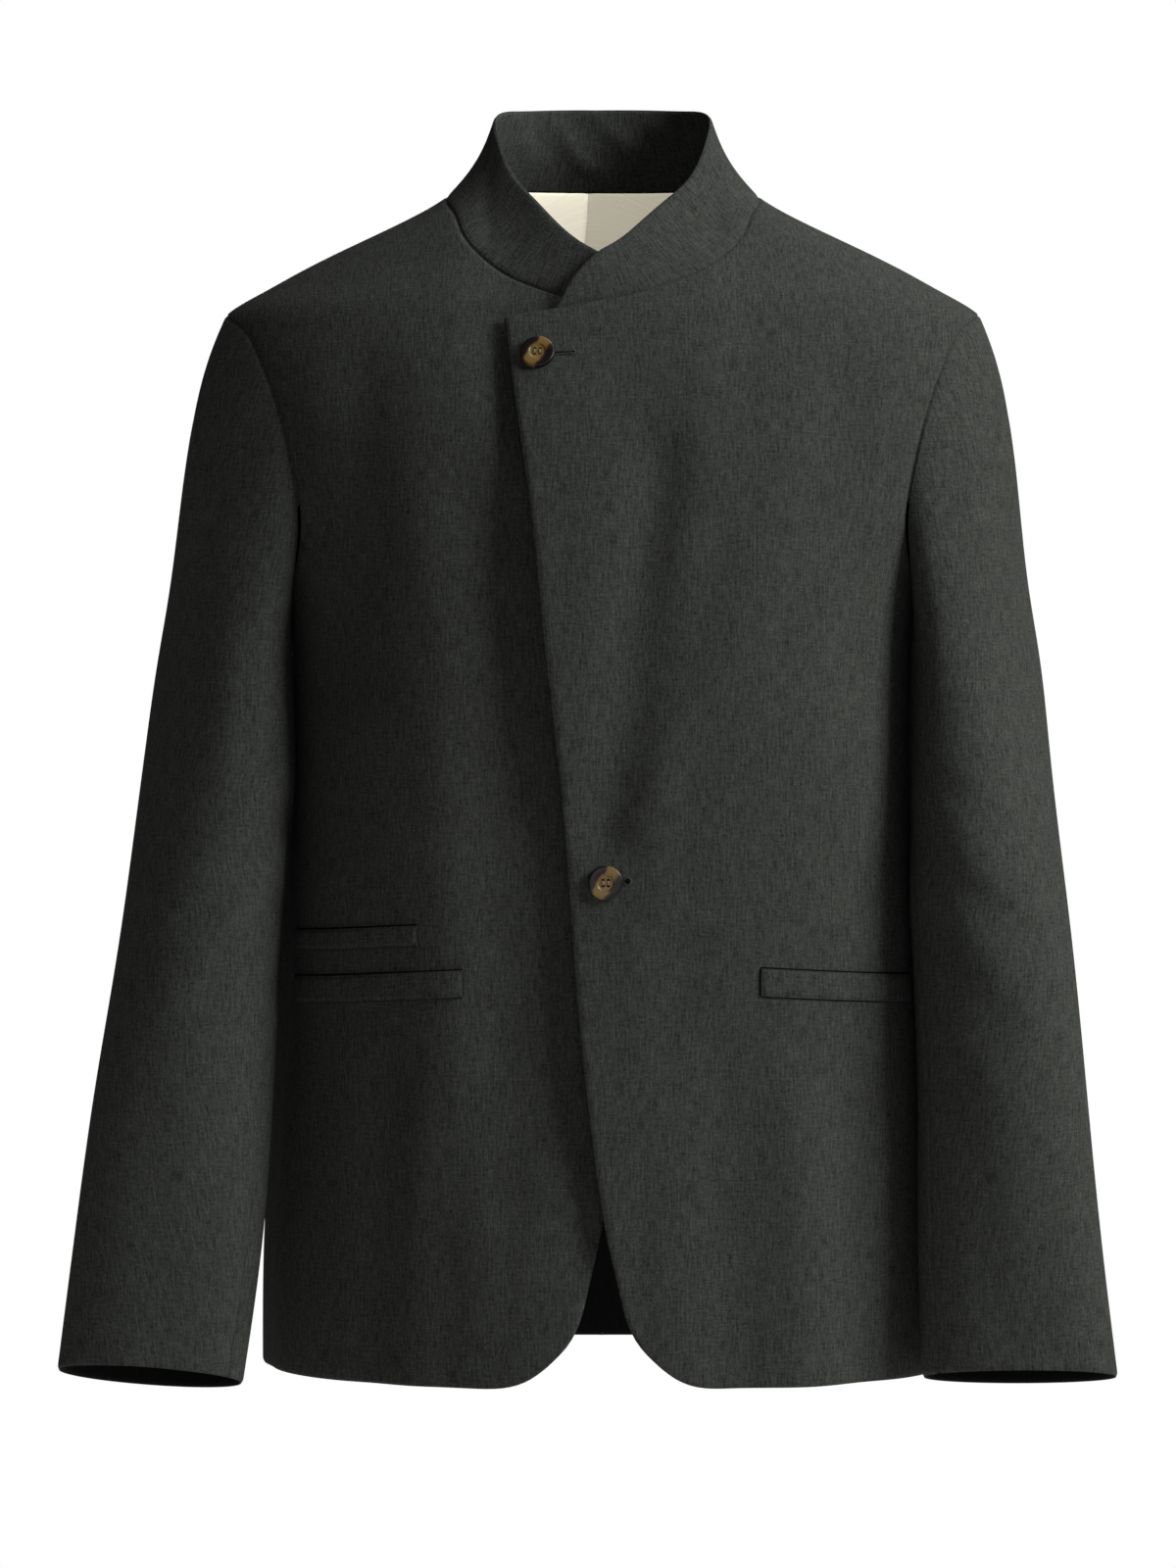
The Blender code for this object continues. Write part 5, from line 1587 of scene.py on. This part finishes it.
class BLAZER_OT_buttons(bpy.types.Operator):
    """Make the four-hole buttons and the thread that holds them"""

    bl_idname = "blazer.buttons"
    bl_label = "Buttons"

    def execute(self, context):
        for button in BUTTONS:
            matrix = button_frame(button)
            disc = self.disc(button)
            disc.matrix_world = matrix @ Matrix.Translation((0, 0, BUTTON_STANDOFF))
            dressed(disc, "button", button.name)
            thread = self.thread(button)
            thread.matrix_world = disc.matrix_world
            dressed(thread, "wool")
        return {"FINISHED"}

    def disc(self, button):
        """A dished disc with a round rim and four thread holes."""
        shape = bmesh.new()
        line = [shape.verts.new((radius, 0.0, z)) for radius, z in self.profile()]
        edges = [shape.edges.new(pair) for pair in zip(line[:-1], line[1:])]
        bmesh.ops.spin(
            shape, geom=line + edges, cent=(0, 0, 0), axis=(0, 0, 1), angle=2 * math.pi, steps=BUTTON_SIDES
        )
        bmesh.ops.remove_doubles(shape, verts=shape.verts, dist=BUTTON_MERGE)
        whole = smooth_object(button.name + "_disc", shape, finish_named("tortoiseshell"))
        holes = bmesh.new()
        for x, y in self.hole_places():
            bmesh.ops.create_cone(
                holes, cap_ends=True, segments=THREAD_HOLE_SIDES, radius1=THREAD_HOLE_RADIUS,
                radius2=THREAD_HOLE_RADIUS, depth=4 * BUTTON_THICK, matrix=Matrix.Translation((x, y, 0)),
            )
        cutter = smooth_object(button.name + "_holes", holes, finish_named("tortoiseshell"))
        cut = whole.modifiers.new("thread_holes", "BOOLEAN")
        cut.operation = "DIFFERENCE"
        cut.object = cutter
        done = whole.evaluated_get(bpy.context.evaluated_depsgraph_get())
        mesh = bpy.data.meshes.new_from_object(done)
        whole.modifiers.clear()
        whole.data = mesh
        mesh.set_sharp_from_angle(angle=SHARP_ANGLE)
        bpy.data.objects.remove(cutter, do_unlink=True)
        return whole

    def profile(self):
        """The turned outline, from the middle of the back round the rim to the dish."""
        rim = BUTTON_RADIUS - BUTTON_EDGE
        points = [(0.0, 0.0), (rim, 0.0)]
        for turn in np.linspace(-math.pi / 2, 0.0, BUTTON_ARC_STEPS)[1:]:
            points.append((rim + BUTTON_EDGE * math.cos(turn), BUTTON_EDGE + BUTTON_EDGE * math.sin(turn)))
        high = BUTTON_THICK - BUTTON_EDGE
        for turn in np.linspace(0.0, math.pi / 2, BUTTON_ARC_STEPS):
            points.append((rim + BUTTON_EDGE * math.cos(turn), high + BUTTON_EDGE * math.sin(turn)))
        for share in np.linspace(0.0, 1.0, BUTTON_DISH_STEPS):
            radius = BUTTON_RADIUS - BUTTON_RIM - share * BUTTON_DISH_SLOPE * BUTTON_DISH
            points.append((radius, BUTTON_THICK - BUTTON_DISH * float(ease(share))))
        points.append((0.0, BUTTON_THICK - BUTTON_DISH))
        return points

    def hole_places(self):
        """Middles of the thread holes."""
        reach = THREAD_HOLE_PLACE * math.sqrt(2)
        turns = [2 * math.pi * (i + 0.5) / THREAD_HOLES for i in range(THREAD_HOLES)]
        return [(reach * math.cos(turn), reach * math.sin(turn)) for turn in turns]

    def thread(self, button):
        """Two bars of thread through the holes."""
        shape = bmesh.new()
        face = BUTTON_THICK - BUTTON_DISH
        spots = self.hole_places()
        for first, second in THREAD_BARS:
            for shift in THREAD_PLIES:
                path = []
                for share in np.linspace(0.0, 1.0, THREAD_STEPS):
                    x = spots[first][0] + share * (spots[second][0] - spots[first][0])
                    y = spots[first][1] + share * (spots[second][1] - spots[first][1])
                    dip = THREAD_DIP * abs(2 * share - 1) ** THREAD_DIP_POWER
                    lift = THREAD_RADIUS * (THREAD_RISE - dip)
                    path.append((x + shift * THREAD_RADIUS, y, face + lift))
                tube(shape, path, PLY_SHARE * THREAD_RADIUS)
        return smooth_object(button.name + "_thread", shape, finish_named("button_thread"))


class BLAZER_OT_buttonholes(bpy.types.Operator):
    """Make the worked buttonholes, which run out from under the buttons"""

    bl_idname = "blazer.buttonholes"
    bl_label = "Buttonholes"

    def execute(self, context):
        for button in BUTTONS:
            dressed(self.slit(button), "wool")
            dressed(self.stitches(button), "wool")
        return {"FINISHED"}

    def outline(self, button, wide):
        """Points round the hole on the front's plane: a slit that ends in a round eye."""
        end = button.hole_end - button.eye
        eye = max(button.eye, HOLE_HALF_WIDTHS[1])
        taper = np.linspace(*HOLE_HALF_WIDTHS, HOLE_STEPS) + wide
        turns = np.linspace(-EYE_TURN, EYE_TURN, EYE_STEPS)
        straight = np.linspace(HOLE_START, end - eye, HOLE_STEPS)
        x = np.concatenate([straight, end + (eye + wide) * np.cos(turns), straight[::-1]])
        y = np.concatenate([-taper, (eye + wide) * np.sin(turns), taper[::-1]])
        return x, y

    def on_front(self, button, x, y, lift):
        """Points on the left front at these places from the button's middle, raised by lift."""
        points, normal = front_surface(button.x + x, button.height + y + HOLE_TILT * x, 1.0)
        return points + lift * normal

    def slit(self, button):
        """The dark opening between the two lips: a flat sheet of painted shade on the front."""
        x, y = self.outline(button, SLIT_OVERLAP)
        points = self.on_front(button, x, y, SLIT_LIFT)
        shape = bmesh.new()
        shape.faces.new([shape.verts.new(point) for point in points])
        bmesh.ops.triangulate(shape, faces=shape.faces)
        thing = smooth_object(f"{button.name}_hole_slit", shape, finish_named("cloth_gap"))
        thing.data.uv_layers.new(name="grain")
        return thing

    def stitches(self, button):
        """Close thread loops over the lips."""
        shape = bmesh.new()
        x_in, y_in = self.outline(button, 0.0)
        x_out, y_out = self.outline(button, LIP_WIDTH)
        run = np.append(0.0, np.cumsum(np.hypot(np.diff(x_out), np.diff(y_out))))
        for place in np.arange(0.0, run[-1], STITCH_STEP):
            start = np.array([np.interp(place, run, x_in), np.interp(place, run, y_in)])
            stop = np.array([np.interp(place, run, x_out), np.interp(place, run, y_out)])
            path = []
            for share in np.linspace(*STITCH_ENDS, STITCH_POINTS):
                spot = start + share * (stop - start)
                arch = STITCH_ARCH * (1 - (2 * share - 1) ** 2) + STITCH_LIFT
                path.append(self.on_front(button, spot[0], spot[1], arch))
            tube(shape, path, STITCH_RADIUS, sides=STITCH_SIDES)
        return smooth_object(f"{button.name}_hole_stitches", shape, finish_named("hole_thread"))


class BLAZER_OT_studio(bpy.types.Operator):
    """Make the floor, the soft lights and the camera"""

    bl_idname = "blazer.studio"
    bl_label = "Studio"

    def execute(self, context):
        studio = context.scene.blazer_studio
        self.floor(studio)
        self.world(context.scene, studio)
        middle = (0.0, 0.0, studio.camera_height)
        for light in LIGHTS:
            lamp = self.light(light, light.target or middle, getattr(studio, light.name + "_power"))
            if light.only_for:
                self.only_for(lamp, light.only_for)
        self.camera(context.scene, studio)
        return {"FINISHED"}

    def floor(self, studio):
        """A round pale floor below the hem."""
        shape = bmesh.new()
        bmesh.ops.create_circle(shape, cap_ends=True, radius=FLOOR_RADIUS, segments=FLOOR_SIDES)
        material = bpy.data.materials.new("studio_floor")
        shader = shader_of(material)
        tree = material.node_tree
        place = node(tree, "ShaderNodeTexCoord").outputs["Object"]
        cloud = node(tree, "ShaderNodeTexNoise", {"Vector": place, "Scale": 6.0, "Detail": 3.0})
        dark, light = rgba(studio.floor_colour, FLOOR_SHADE), rgba(studio.floor_colour)
        colour = mixed(tree, cloud.outputs[0], dark, light)
        tree.links.new(colour, shader.inputs["Base Color"])
        shader.inputs["Roughness"].default_value = 0.8
        floor = smooth_object("studio_floor", shape, material)
        floor.location.z = studio.floor_height

    def world(self, scene, studio):
        """White seen behind the garment, and softer light all round."""
        world = bpy.data.worlds.new("studio")
        world.use_nodes = True
        tree = world.node_tree
        back = tree.nodes["Background"]
        back.inputs["Color"].default_value = (1, 1, 1, 1)
        seen = node(tree, "ShaderNodeLightPath").outputs["Is Camera Ray"]
        reach = {"Value": seen, "To Min": studio.ambient, "To Max": 1.0}
        strength = node(tree, "ShaderNodeMapRange", reach)
        tree.links.new(strength.outputs[0], back.inputs["Strength"])
        scene.world = world
        scene.view_settings.view_transform = "Standard"

    def light(self, light, target, power):
        """A square soft light that faces the target."""
        name = "studio_" + light.name
        lamp = bpy.data.lights.new(name, "AREA")
        lamp.size = light.size
        lamp.energy = power
        thing = linked(bpy.data.objects.new(name, lamp))
        thing.location = light.place
        ahead = Vector(target) - Vector(light.place)
        thing.rotation_euler = ahead.to_track_quat("-Z", "Y").to_euler()
        return thing

    def only_for(self, lamp, kind):
        """Lets the light fall on the cloths of this kind alone."""
        lit = bpy.data.collections.new(lamp.name + "_receivers")
        for thing in bpy.data.objects:
            if thing.name.startswith(kind) and thing.name.endswith("_cloth"):
                lit.objects.link(thing)
        lamp.light_linking.receiver_collection = lit

    def camera(self, scene, studio):
        """A level camera in front that takes in the photo's view."""
        lens = bpy.data.cameras.new("studio_camera")
        lens.sensor_fit = "VERTICAL"
        lens.sensor_height = SENSOR_HEIGHT
        lens.lens = lens.sensor_height * studio.camera_distance / studio.view_height
        thing = linked(bpy.data.objects.new("studio_camera", lens))
        thing.location = (studio.camera_x, -studio.camera_distance, studio.camera_height)
        thing.rotation_euler = (math.pi / 2, 0.0, 0.0)
        scene.camera = thing


PIECES = (
    BLAZER_OT_fronts,
    BLAZER_OT_backs,
    BLAZER_OT_sleeves,
    BLAZER_OT_collar,
    BLAZER_OT_lining,
    BLAZER_OT_welts,
    BLAZER_OT_buttons,
    BLAZER_OT_buttonholes,
    BLAZER_OT_studio,
)
SETTINGS = {"blazer_cloth": BlazerCloth, "blazer_trim": BlazerTrim, "blazer_studio": BlazerStudio}


class BLAZER_PT_pieces(bpy.types.Panel):
    """Lists the blazer's pieces and settings"""

    bl_idname = "BLAZER_PT_pieces"
    bl_label = "Blazer"
    bl_space_type = "VIEW_3D"
    bl_region_type = "UI"
    bl_category = "Blazer"

    def draw(self, context):
        for piece in PIECES:
            self.layout.operator(piece.bl_idname)
        for title, group in SETTINGS.items():
            for name in group.__annotations__:
                self.layout.prop(getattr(context.scene, title), name)


def register():
    for made in (*SETTINGS.values(), *PIECES, BLAZER_PT_pieces):
        bpy.utils.register_class(made)
    for title, made in SETTINGS.items():
        setattr(bpy.types.Scene, title, bpy.props.PointerProperty(type=made))


def unregister():
    for title in SETTINGS:
        delattr(bpy.types.Scene, title)
    for made in (BLAZER_PT_pieces, *PIECES[::-1], *SETTINGS.values()):
        bpy.utils.unregister_class(made)


def main():
    register()
    for piece in PIECES:
        group, name = piece.bl_idname.split(".")
        getattr(getattr(bpy.ops, group), name)()


if __name__ == "__main__":
    main()
